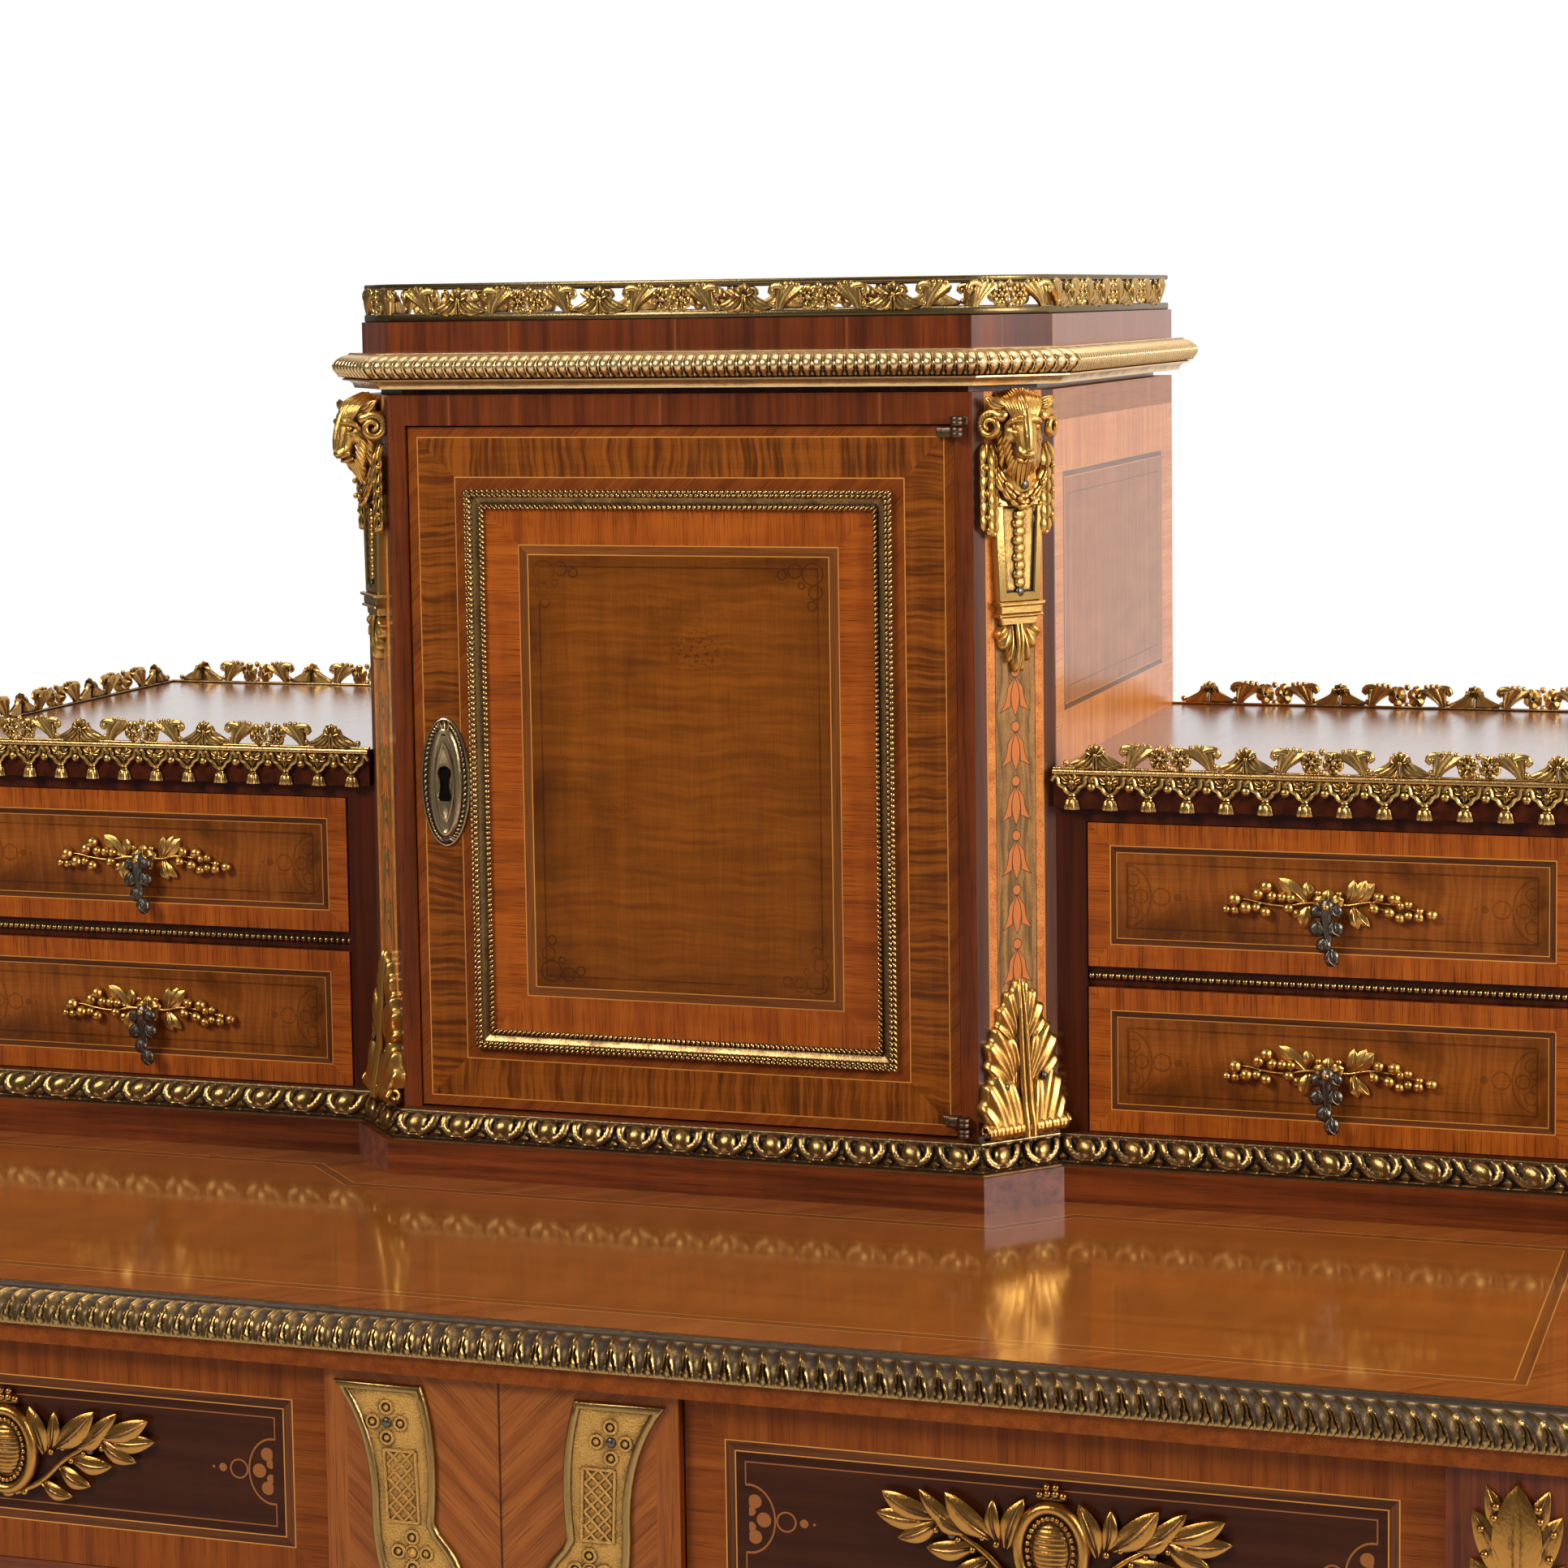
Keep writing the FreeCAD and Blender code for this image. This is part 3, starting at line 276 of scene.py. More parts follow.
# Darker rim of a panel, a faint line inside it, knots, and faint pen work given by its own mask
def aged(line, edge, knots=(), penWork=None):
    def extra(t, colour, x, z, inset):
        inside = inset > edge
        cloud = t.noise(x * 0.02, z * 0.02, 3, detail=4, rough=0.6, twist=0.8)
        rim = inset.ramp(edge, edge + 24, 0.62, 0) * cloud.ramp(0.3, 0.7, 0.4, 1)
        colour = t.mix(inside * (rim + cloud.ramp(0.5, 0.75, 0, 0.36)), colour, stainsAndLight["rim"])
        mask = abs(inset - line).ramp(0.25, 0.7, 0.6, 0)
        if penWork:
            mask = mask.most(penWork(x, z) * 0.6)
        colour = t.mix(inside * mask * cloud.ramp(0.3, 0.5, 0.35, 1), colour, stainsAndLight["pen"])
        for knotX, knotZ, wide, depth in knots:
            reach = ((x - knotX) * (x - knotX) * 0.5 + (z - knotZ) * (z - knotZ)).root()
            grain = t.noise(x * 0.35, z * 0.55, knotX, detail=4, rough=0.75)
            knot = reach.ramp(0, wide, depth, 0) * grain.ramp(0.5, 0.62)
            colour = t.mix(inside * knot, colour, stainsAndLight["knot"])
        return colour
    return extra


print("woods and marquetry")
mahoganyLevel = plainWood("mahogany level", "mahogany", 0)
oakDeep = plainWood("oak front to back", "oak", 1, gloss=0.55)
# the cap's side faces carry painted light
dress(plainWood("attic veneer", "mahogany", 2, gloss=0.24, shine=0.4, leaves=92, sideLight=0.55), "cornice_board")
dress(plainWood("rail veneer", "mahogany", 2, leaves=118), "cabinet_top_rail")
dress(plainWood("mahogany upright", "mahogany", 2), "legs")
# the base's canted corners carry a painted sheen
dress(plainWood("base mahogany", "mahogany", 0, shine=0.2, cantSheen=0.14), "upper_base")
dress(mahoganyLevel, "cabinet_floor", "frieze_back_panel", "frieze_bottom_rails")
dress(plainWood("mahogany front to back", "mahogany", 1), "frieze_side_panels")
dress(plainWood("pale sub-top", "honey", 1), "cabinet_sub_top")
# the wing cases in the darker mahogany: painted shade
dress(plainWood("dusky mahogany upright", "shaded", 2), "wing_cases")
dress(plainWood("oak level", "oak", 0, gloss=0.55), "cabinet_shelf")
dress(oakDeep, "frieze_partitions", "frieze_drawer_runners")

doorInlay = {
    "bands": [(0, "tulip", "slant"), (5.2, "string", "along"), (5.8, "fiddle", "along"), (26.2, "string", "along"),
              (26.8, "tulip", "slant"), (40, "kingwood", "cross"), (61.6, "string", "along"),
              (62.2, "walnut", "along"), (66.6, "string", "along"), (67.2, "panel", "upright")],
    "line": 73, "edge": 67.2,
    "knots": [(11, 66, 20, 0.8), (-33, -19, 16, 0.35), (4, 88, 30, 0.25)],
    "rings": [(8.5, 8.5, 5.6), (18, 7, 3.6), (7, 18, 3.6), (25, 9, 2.4), (9, 25, 2.4), (14.5, 14.5, 1.6)],
    "corner": (82.4, 114.5),
}


def cornerScrolls(x, z):    # small scrolls drawn in the corners of the door's panel
    wide, tall = doorInlay["corner"]
    mask = None
    for across, down, radius in doorInlay["rings"]:
        dx, dz = wide - across - abs(x), tall - down - abs(z)
        ring = abs((dx * dx + dz * dz).root() - radius).ramp(0.25, 0.6, 1, 0)
        mask = mask.most(ring) if mask else ring
    return mask


doorAge = aged(doorInlay["line"], doorInlay["edge"], doorInlay["knots"], cornerScrolls)
dress(marquetry("door marquetry", "front", frontOf("door_panel"), doorInlay["bands"], extra=doorAge), "door_panel")

drawerInlay = {
    "bands": [(0, "kingwood", "cross"), (11.4, "string", "along"), (12, "rosewood", "along"),
              (14.8, "string", "along"), (15.3, "curly", "level")],
    "line": 20.5, "edge": 15.2, "half": 123.8, "end": 20.5,
}
friezeInlay = {
    "bands": [(0, "tulip", "cross"), (18.9, "string", "along"), (19.5, "rosewood", "along"),
              (23.6, "string", "along"), (24.2, "shadow", "level")],
    "half": 170.25, "end": 30, "line": 28.6, "inlay": (0.25, 0.082, 0.02),
}
palmette = {
    "arc": (12.3, 15.7), "petals": [(2.8, 8.2, 3.2), (1, 3.6, 2.2), (7, 0, 3.4)], "gap": (-4, 1.7, 4.2),
    "ring": (17.6, 4.4), "dots": [(26, 2), (30.8, 0.7)], "line": 0.4, "ringLine": 0.42, "start": -1.4,
}


# Arc, petals, ring and dots in from the end; also what lies clear of the arc
def palmetteMask(away, z, drawn=False):
    wide, tall = palmette["arc"]
    gapPlace, gapRise, gapSize = palmette["gap"]

    def reach(place, high, stretch=1):
        return ((away - place) * (away - place) + (abs(z) - high) * (abs(z) - high) * stretch).root()

    bow = reach(0, 0, (wide / tall) ** 2)
    mask = (abs(bow - wide) < palmette["line"]) * (away > palmette["start"])
    for place, high, radius in palmette["petals"]:
        petal = abs(reach(place, high) - radius) < palmette["line"] if drawn else reach(place, high) < radius
        mask = mask.most(petal * (away > 0) * (reach(gapPlace, high * gapRise) > gapSize))
    place, radius = palmette["ring"]
    mask = mask.most(abs(reach(place, 0) - radius) < palmette["ringLine"])
    for place, radius in palmette["dots"]:
        mask = mask.most(reach(place, 0) < radius)
    return mask, bow > wide


def palmettes(t, colour, x, z, inset):    # thin inlaid line with a palmette at each end
    mask, clear = palmetteMask(friezeInlay["half"] - friezeInlay["end"] - abs(x), z)
    mask = mask.most((abs(inset - friezeInlay["line"]) < 0.3) * clear)
    return t.mix(mask, colour, friezeInlay["inlay"])


def drawnPalmettes(x, z):
    return palmetteMask(drawerInlay["half"] - drawerInlay["end"] - abs(x), z, drawn=True)[0] * 0.7


drawerAge = aged(drawerInlay["line"], drawerInlay["edge"], (), drawnPalmettes)
for side in hands:
    for level in levels:
        name = f"wing_drawer_front_{side}_{level}"
        dress(marquetry(f"drawer marquetry {side} {level}", "front", frontOf(name), drawerInlay["bands"],
                        extra=drawerAge), name)
        dress(oakDeep, f"wing_drawer_box_{side}_{level}")
    name = f"frieze_drawer_front_{side}"
    dress(marquetry(f"frieze marquetry {side}", "front", frontOf(name), friezeInlay["bands"], shine=0.1,
                    extra=palmettes), name)
    dress(oakDeep, f"frieze_drawer_box_{side}")

topInlay = {
    "border": 20.6, "back": 330,
    "bands": [(0, "chevron", "slant"), (22.9, "string", "along"), (23.5, "walnut", "along"),
              (28.7, "string", "along"), (29.3, "amber", "level")],
    "flat": 165, "front": -45.7, "wing": -11, "cant": 0.707, "coat": (0.09, 1.5),
}


def roundBase(x, y):    # how far a point of the table top lies in front of the upper base
    ahead = topInlay["front"] - y
    centre = ahead.most((abs(x) - topInlay["flat"] + ahead) * topInlay["cant"])
    return centre.least(topInlay["wing"] - y)


low, high = millimetres("table_edge_moulding")
border = topInlay["border"]
topRect = ((low.x + border, high.x - border), (low.y + border, topInlay["back"]))
dress(marquetry("table top marquetry", "top", topRect, topInlay["bands"], "tulip", shine=0.1, trim=roundBase,
                coat=topInlay["coat"]), "table_top")

wingInlay = {"bands": [(0, "tulip", "cross"), (24, "string", "along"), (24.6, "panel", "level")],
             "coat": (0.22, 2.1)}
low, high = millimetres("wing_tops")
# the wing top's plain faces in the darker mahogany: painted shade
dress(marquetry("wing top marquetry", "top", ((low.x, high.x), (low.y, high.y)), wingInlay["bands"], "shaded",
                shine=0.2, coat=wingInlay["coat"]), "wing_tops")

sideInlay = {
    "frame": ((24.3, 268.5), (999.4, 1124.2)), "margin": 30,
    "bands": [(0, "satin", "cross"), (30, "string", "along"), (30.6, "walnut", "along"), (33.4, "string", "along"),
              (34, "honey", "upright"), (42, "walnut", "along"), (42.6, "honey", "upright")],
}
sideRect = tuple((start - sideInlay["margin"], end + sideInlay["margin"]) for start, end in sideInlay["frame"])
dress(marquetry("cabinet side marquetry", "sides", sideRect, sideInlay["bands"], gloss=0.24, shine=0.28),
      "cabinet_sides", "cabinet_back")

endless = (0, 2000)    # bands that run on beyond both ends
postInlay = {
    "half": 25.3,
    "bands": [(0, "purple", "upright"), (7.3, "string", "along"), (8, "apricot", "cross"),
              (12.6, "rosewood", "along"), (13, "stained", "level")],
    "first": 1024, "pitch": 28, "lead": 2.9, "dot": 2.4, "middle": 1000,
    "inlay": (0.54, 0.15, 0.03), "outline": (0.085, 0.04, 0.014),
}


def bellflowers(t, colour, u, z, inset):    # a dot and a three-petalled bellflower, again and again down the post
    lead = postInlay["lead"]
    down = (postInlay["first"] - postInlay["middle"] + lead - z).cycle(postInlay["pitch"]) - lead
    side = abs(u)
    waist = (down - 13) / 9.2
    heart = 2.4 - waist * waist * 2.4
    flare = (down - 9).most(0) / 11.5

    def blossom(grow):
        dot = (u * u + down * down) < (postInlay["dot"] + grow) ** 2
        outer = down.ramp(2.5, 9.5, 0.8, 4.8) + flare * flare * 4.4
        inner = heart.most(0) + 0.55 + flare * flare * 1.2
        petal = (side < outer + grow) * (side > inner - grow)
        petal = petal * (down > 3.2 - grow) * (down < side * 0.42 + 16.2 + grow)
        return dot.most(side < heart + grow).most(petal)

    colour = t.mix(blossom(0.5), colour, postInlay["outline"])
    return t.mix(blossom(0), colour, postInlay["inlay"])


postRect = ((-postInlay["half"], postInlay["half"]), endless)
dress(marquetry("corner post marquetry", "facet", postRect, postInlay["bands"], shine=0.3, extra=bellflowers),
      "corner_posts")

blockInlay = {"bands": [(0, "chevron", "upright"), (11, "chevron", "vee")], "seam": (0.35, 0.8, 0.85, 0)}


def seamed(t, colour, x, z, inset):    # the joint between the two leaves of the chevron
    return t.mix(abs(x).ramp(*blockInlay["seam"]), colour, stainsAndLight["seam"])


blockRect = (frontOf("frieze_centre_block")[0], endless)
dress(marquetry("centre block marquetry", "front", blockRect, blockInlay["bands"], shine=0.15, extra=seamed),
      "frieze_centre_block")

# Metals by slot: bright and dark tone, roughness, strength of patina and painted shade, coarseness of the grain
metals = {
    "gilt_bronze": {
        "gilt bronze": ((0.67, 0.36, 0.088), (0.07, 0.028, 0.006), 0.31, 1.4),
        "gallery gilt": ((0.54, 0.32, 0.095), (0.055, 0.026, 0.007), 0.3, 1.5),
        "cornice gilt": ((0.8, 0.525, 0.225), (0.075, 0.038, 0.012), 0.3, 1.2),
        "old gilt": ((0.42, 0.192, 0.042), (0.04, 0.017, 0.005), 0.28, 1.8),
        "matt gilt": ((0.58, 0.31, 0.08), (0.06, 0.028, 0.008), 0.38, 1.7, 2.6),
    },
    "aged_brass": {
        "aged brass": ((0.33, 0.19, 0.062), (0.035, 0.02, 0.009), 0.28, 1.4),
        "frame brass": ((0.54, 0.315, 0.108), (0.055, 0.027, 0.009), 0.27, 1.1),
        "worn brass": ((0.19, 0.13, 0.055), (0.04, 0.028, 0.014), 0.32, 1.3),
        "rubbed brass": ((0.45, 0.315, 0.165), (0.045, 0.03, 0.015), 0.28, 1),
    },
    "dark_bronze": {
        "dark bronze": ((0.13, 0.105, 0.08), (0.022, 0.018, 0.014), 0.34, 0.8),
        "hinge bronze": ((0.12, 0.07, 0.04), (0.022, 0.014, 0.009), 0.4, 0.9),
        # a near-black finish: painted shade for the keyhole's dark inside
        "keyhole shadow": ((0.012, 0.009, 0.007), (0.003, 0.002, 0.002), 0.75, 0.8),
    },
}
lockSteel = ((0.42, 0.4, 0.38), (0.1, 0.09, 0.08), 0.35, 0.4)


def castMetal(name, bright, dark, rough, dirtAndShade, grain=1):
    material, t, shader = startFinish(name)
    x, y, z = t.places()
    cloud = t.noise(x * 0.09, y * 0.09, z * 0.09, detail=4, rough=0.6)
    fleck = t.noise(x * 1.1, y * 1.1, z * 0.5 * grain, rough=0.6)    # chasing marks
    shade = 1 - t.node("AmbientOcclusion", {"samples": 6}, {"Distance": 0.003}, "AO")
    dipAndShade = t.node("Attribute", {"attribute_name": "hollow"}, None, "Fac")
    # the dark mask: patina in the hollows, plus painted shade carried in the hollow attribute
    worn = (shade * 1.2 + dipAndShade * 1.7 + (cloud - 0.5) * 0.7 + (fleck - 0.5) * 0.5) * dirtAndShade
    mask = worn.ramp(0.02, 0.72)
    bump = t.node("Bump", None, {"Strength": min(0.8, 0.3 * grain), "Distance": 0.0006 * grain, "Height": fleck})
    t.shade(shader, Base_Color=t.mix(mask, bright, dark), Roughness=mask * 0.22 + rough,
            Metallic=1 - mask * 0.35, Normal=bump)
    return material


print("metals")
cast, slotOf = {}, {}
for slot, finishes in metals.items():
    for name, values in finishes.items():
        cast[name], slotOf[name] = castMetal(name, *values), slot
dress(castMetal("lock steel", *lockSteel), "lock_case", "lock_bolt")

# Modelling helpers, in millimetres. A front piece looks towards -Y; "out" is its distance forward

# A sheet of faces, each corner put where place(u, v) says; the last argument gives how much patina and painted shade
# each corner holds
def patch(bm, cols, rows, place, dirtAndShade=None):
    patinaAndShade = bm.verts.layers.float.get("patinaAndShade") or bm.verts.layers.float.new("patinaAndShade")
    made = bmesh.ops.create_grid(bm, x_segments=cols, y_segments=rows, size=0.5)["verts"]
    for vert in made:
        u, v = vert.co.x + 0.5, vert.co.y + 0.5
        vert.co = place(u, v)
        if dirtAndShade:
            vert[patinaAndShade] = dirtAndShade(u, v)


def skin(bm, rings):    # closed rings, one after another, joined into a shell
    sides, last = len(rings[0]), len(rings) - 1
    patch(bm, sides, last, lambda u, v: rings[round(v * last)][round(u * sides) % sides])


def sealed(bm, gap, speck=0):    # near points joined, open edges filled, faces turned outwards
    bmesh.ops.remove_doubles(bm, verts=bm.verts, dist=gap)
    if speck:
        bmesh.ops.dissolve_degenerate(bm, dist=speck, edges=bm.edges)
    bmesh.ops.holes_fill(bm, edges=[edge for edge in bm.edges if edge.is_boundary], sides=0)
    bmesh.ops.recalc_face_normals(bm, faces=bm.faces)


def linked(name, data):    # an object in the scene
    made = bpy.data.objects.new(name, data)
    bpy.context.scene.collection.objects.link(made)
    return made


def evaluated(form):    # its mesh after its modifiers
    graph = bpy.context.evaluated_depsgraph_get()
    return bpy.data.meshes.new_from_object(form.evaluated_get(graph))


def asMesh(bm, name):
    mesh = bpy.data.meshes.new(name)
    bm.to_mesh(mesh)
    bm.free()
    return mesh


def piece(bm, name, body, metal, *replaced, crease=50):
    sealed(bm, gap=0.002, speck=0.0005)
    hollow = bm.verts.layers.float.new("hollow")    # how far the surface dips at each point, plus the patina and painted shade given to it, for the patina mask
    patinaAndShade = bm.verts.layers.float.get("patinaAndShade")
    for vert in bm.verts:
        ways = [(edge.other_vert(vert).co - vert.co).normalized().dot(vert.normal) for edge in vert.link_edges]
        vert[hollow] = sum(ways) / max(1, len(ways)) + (vert[patinaAndShade] if patinaAndShade else 0)
    if patinaAndShade:
        bm.verts.layers.float.remove(patinaAndShade)
    bmesh.ops.scale(bm, vec=(mm, mm, mm), verts=bm.verts)
    mesh = asMesh(bm, name)
    mesh.polygons.foreach_set("use_smooth", [True] * len(mesh.polygons))
    mesh.set_sharp_from_angle(angle=math.radians(crease))
    mesh.materials.append(cast[metal])
    made = linked(name, mesh)
    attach(made, body)
    if replaced:
        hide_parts(*replaced)
    print("  ", name, len(mesh.polygons), "faces")


def mould(build):    # a shape made once, to be stamped many times
    bm = bmesh.new()
    build(bm)
    return asMesh(bm, "mould")


def stamp(bm, mesh, matrix):
    before = len(bm.verts)
    bm.from_mesh(mesh)
    bm.verts.ensure_lookup_table()
    bmesh.ops.transform(bm, matrix=matrix, verts=bm.verts[before:])


def mirrorOver(bm):
    geometry = bm.verts[:] + bm.edges[:] + bm.faces[:]
    bmesh.ops.mirror(bm, geom=geometry, matrix=Matrix.Identity(4), merge_dist=-1, axis="X")


def stamped(name, body, metal, stamps, *replaced, mirrored=False, crease=70):    # a piece made of moulds
    bm = bmesh.new()
    for mesh, place in stamps:
        stamp(bm, mesh, place)
    if mirrored:
        mirrorOver(bm)
    piece(bm, name, body, metal, *replaced, crease=crease)


def flip(side, points):    # the same points on one side or the other
    return [(side * point[0], *point[1:]) for point in points]


def circle(sides):
    return [2 * math.pi * step / sides for step in range(sides)]


def bend(start, middle, end, steps):    # a curve through three points
    pull = [2 * m - (s + e) / 2 for s, m, e in zip(start, middle, end)]
    return [tuple((1 - t) ** 2 * s + 2 * t * (1 - t) * p + t * t * e for s, p, e in zip(start, pull, end))
            for t in (step / steps for step in range(steps + 1))]


def smoothLine(points, steps):    # a smooth line through points of any number of values
    line = []
    for index in range(len(points) - 1):
        near = [points[min(max(index + shift, 0), len(points) - 1)] for shift in (-1, 0, 1, 2)]
        for t in (step / steps for step in range(steps)):
            line.append(tuple(0.5 * (2 * b + (c - a) * t + (2 * a - 5 * b + 4 * c - d) * t * t
                                     + (3 * b - a - 3 * c + d) * t ** 3) for a, b, c, d in zip(*near)))
    return line + [tuple(points[-1])]


def stem(bm, points, steps=3, sides=6, flat=1, ridges=0):    # points are (x, z, out, radius)
    line = smoothLine(points, steps)
    rings = []
    for index, (x, z, out, radius) in enumerate(line):
        ahead, behind = line[min(index + 1, len(line) - 1)], line[max(index - 1, 0)]
        run = Vector((ahead[0] - behind[0], behind[2] - ahead[2], ahead[1] - behind[1])).normalized()
        side = run.cross(Vector((0, -1, 0.001))).normalized()
        front = side.cross(run)
        swell = radius * (1 + ridges * (index % 2))
        rings.append([Vector((x, -out, z)) + swell * (math.cos(turn) * side + flat * math.sin(turn) * front)
                      for turn in circle(sides)])
    skin(bm, rings)


def oval(bm, x, z, out, wide, tall, deep, sides=16):
    place = Matrix.Translation((x, -out, z)) @ Matrix.Diagonal((wide, deep, tall, 1))
    bmesh.ops.create_uvsphere(bm, u_segments=sides, v_segments=sides - 4, radius=1, matrix=place)


def ball(bm, x, z, out, radius, sides=8, squash=1):
    place = Matrix.Translation((x, -out, z)) @ Matrix.Diagonal((1, squash, 1, 1))
    bmesh.ops.create_uvsphere(bm, u_segments=sides, v_segments=sides - 2, radius=radius, matrix=place)


# Across a leaf: (place, height), with a groove on each side of its rib
leafSection = [(-1, 0.05), (-0.55, 0.78), (-0.14, 0.6), (0, 1), (0.14, 0.6), (0.55, 0.78), (1, 0.05)]


# A cast leaf from root to tip: rise lifts its middle, tipOut its tip, back rounds its back
def leaf(bm, root, tip, wide, thick, out=0, rise=0, tipOut=0, sway=0, steps=6, back=0, blunt=0.75):
    run = Vector((tip[0] - root[0], 0, tip[1] - root[1]))
    side = Vector((run.z, 0, -run.x)).normalized()
    rings = []
    for t in (step / steps for step in range(steps + 1)):
        half = wide / 2 * math.sin(math.pi * min(1, 0.08 + 0.92 * t ** blunt)) ** 0.75 if t < 1 else 0
        body = thick * (1 - 0.6 * t) if t < 1 else 0
        lift = out + rise * math.sin(math.pi * t) + tipOut * t * t
        middle = Vector((root[0], 0, root[1])) + run * t + side * (sway * math.sin(math.pi * t))
        rings.append([middle + side * (half * place) + Vector((0, -lift - body * height, 0))
                      for place, height in leafSection + [(0, -back)]])
    skin(bm, rings)


def hoop(bm, x, z, out, radius, thick, sides=16, tube=6, tall=1, pinch=1):    # a round or oval ring
    def place(u, v):
        turn, roll = 2 * math.pi * u, 2 * math.pi * v
        reach = thick * math.cos(roll)
        return Vector((x + (radius + reach) * math.cos(turn), -out - pinch * thick * math.sin(roll),
                       z + (radius * tall + reach) * math.sin(turn)))
    patch(bm, sides, tube, place)


# A shape turned about an upright line; profile is (radius, z), flutes cut its sides
def turned(bm, x, out, profile, sides=12, squash=1, flutes=0):
    rings = []
    for radius, z in profile:
        reaches = [radius * (1 - flutes * (step % 2)) for step in range(sides)]
        rings.append([Vector((x + reach * math.cos(turn), -out - squash * reach * math.sin(turn), z))
                      for reach, turn in zip(reaches, circle(sides))])
    skin(bm, rings)


# A plate cut to an outline: steps are (inset, out) from its back edge to its face
def plate(bm, outline, steps):
    skin(bm, [[Vector((spot.x, -out, spot.y)) for spot in offset(outline, -inset, closed=True)]
              for inset, out in steps])


def peg(bm, x, z, out, steps, sides=12):    # turned about a line towards the front; steps are (radius, out)
    skin(bm, [[Vector((x + reach * math.cos(turn), -out - ahead, z + reach * math.sin(turn)))
               for turn in circle(sides)] for reach, ahead in steps])


def screwHead(bm, x, z, out, radius):
    peg(bm, x, z, out, [(radius, 0), (radius, 0.5), (radius * 0.8, 1), (radius * 0.35, 1.3), (0.05, 1.35)])


def screws(name, body, spots, radius, place=None):    # spots are (x, z, out); with a place, on both sides
    bm = bmesh.new()
    for spot in spots:
        screwHead(bm, *spot, radius)
    if place:
        bmesh.ops.transform(bm, matrix=place, verts=bm.verts)
        mirrorOver(bm)
    piece(bm, name, body, "dark bronze")


# Paths in plan run with their outer side on the right
def outwards(start, end):
    run = (end - start).normalized()
    return Vector((run.y, -run.x))


def mitres(path, closed=False):
    steps = []
    for index, spot in enumerate(path):
        before = outwards(path[index - 1], spot) if closed or index > 0 else None
        after = outwards(spot, path[(index + 1) % len(path)]) if closed or index < len(path) - 1 else None
        before, after = before or after, after or before
        steps.append((before + after) / (1 + before.dot(after)))
    return steps


def offset(path, out, closed=False):
    path = [Vector(spot) for spot in path]
    return [spot + step * out for spot, step in zip(path, mitres(path, closed))]


# A moulding modelled in relief: relief(s, t) is the height over one repeat s, down its front profile t
def enriched(bm, path, base, front, back, pitch, per, relief=None, closed=False, depth=0, shade=0, start=0):
    path = [Vector(spot) for spot in path]
    outline = front + back
    steps = mitres(path, closed)
    normals = []
    for index in range(len(front)):
        ahead, behind = front[min(index + 1, len(front) - 1)], front[max(index - 1, 0)]
        slope = Vector((ahead[0] - behind[0], ahead[1] - behind[1])).normalized()
        normals.append(Vector((-slope.y, slope.x)))
    for first in range(len(path) if closed else len(path) - 1):
        second = (first + 1) % len(path)
        count = max(1, round((path[second] - path[first]).length / pitch))

        def place(u, v):
            index = round(v * len(outline)) % len(outline)
            out, up = outline[index]
            if relief and index < len(front):
                lift = relief((u * count) % 1, index / (len(front) - 1))
                out += normals[index].x * lift
                up += normals[index].y * lift
            spot = (path[first] + steps[first] * out).lerp(path[second] + steps[second] * out, u)
            return Vector((spot.x, spot.y, base + up))

        def dirtAndShade(u, v):    # patina in the hollows; painted darker towards the top of the profile, and painted shade on the fillets above start
            down = v * len(outline) / (len(front) - 1)
            if not 0 <= down < 1:
                return 0
            hollow = max(0, -relief((u * count) % 1, down) / depth)
            return hollow * 0.26 + 0.1 * (1 - down) + shade * (down < start)

        patch(bm, count * per if relief else 1, len(outline), place, dirtAndShade if depth else None)


def runFrame(start, end, z):    # local x along the run from its start, -Y outwards
    run = (end - start).normalized()
    out = outwards(start, end)
    return Matrix(((run.x, -out.x, 0, start.x), (run.y, -out.y, 0, start.y), (0, 0, 1, z), (0, 0, 0, 1)))


def postFrame(z):    # in the middle of the canted post on the right
    low, high = millimetres("corner_posts")
    start, end = Vector((cabinet["flat"], low.y)), Vector((high.x, cabinet["wing"]))
    return runFrame((start + end) / 2, end, z)


def dome(distance):    # 1 in the middle, 0 at the edge
    return math.sqrt(max(0, 1 - distance * distance))


# A fluted lobe spread from its root line to its edge; its rim turns back, or meets a second face behind
def lobe(bm, side, root, edge, flutes, out, rise, depth=0.8, cut=0.1, tilt=0, bow=0.2, backed=False, steps=6,
         rows=10):
    line = smoothLine(edge, steps)
    last = len(line) - 1
    rim = 0.88    # where the rim starts to turn

    def spread(face):
        def place(u, v):
            x, z = line[round(u * last)]
            startX, startZ = [first + (second - first) * u for first, second in zip(*root)]
            wave = math.cos(2 * math.pi * flutes * u)
            reach = min(1, v / rim)
            long = reach * (1 - cut * (0.5 + 0.5 * wave) * reach)
            lift = out + tilt * (1 - reach) + rise * math.sin(math.pi * 0.85 * reach)
            lift = lift - depth * wave * math.sqrt(reach) + 0.5 * reach ** 3
            back = max(0, (v - rim) / 0.12)
            if backed:
                lift *= (1 - back) * min(1, 8 * u, 8 * (1 - u))
            else:
                lift = lift * (1 - back) - 0.4 * back
            return Vector((side * (startX + (x - startX) * long ** (1 + bow)), face * lift,
                           startZ + (z - startZ) * long ** (1 - 0.6 * bow)))
        return place

    for face in (-1, 1) if backed else (-1,):
        patch(bm, last, rows, spread(face))


def capPath():    # round the cap in plan, from back to back
    low, high = millimetres("cornice_board")
    flat, wing = cabinet["flat"], cabinet["wing"]
    return [(low.x, high.y), (low.x, wing), (-flat, low.y), (flat, low.y), (high.x, wing), (high.x, high.y)]


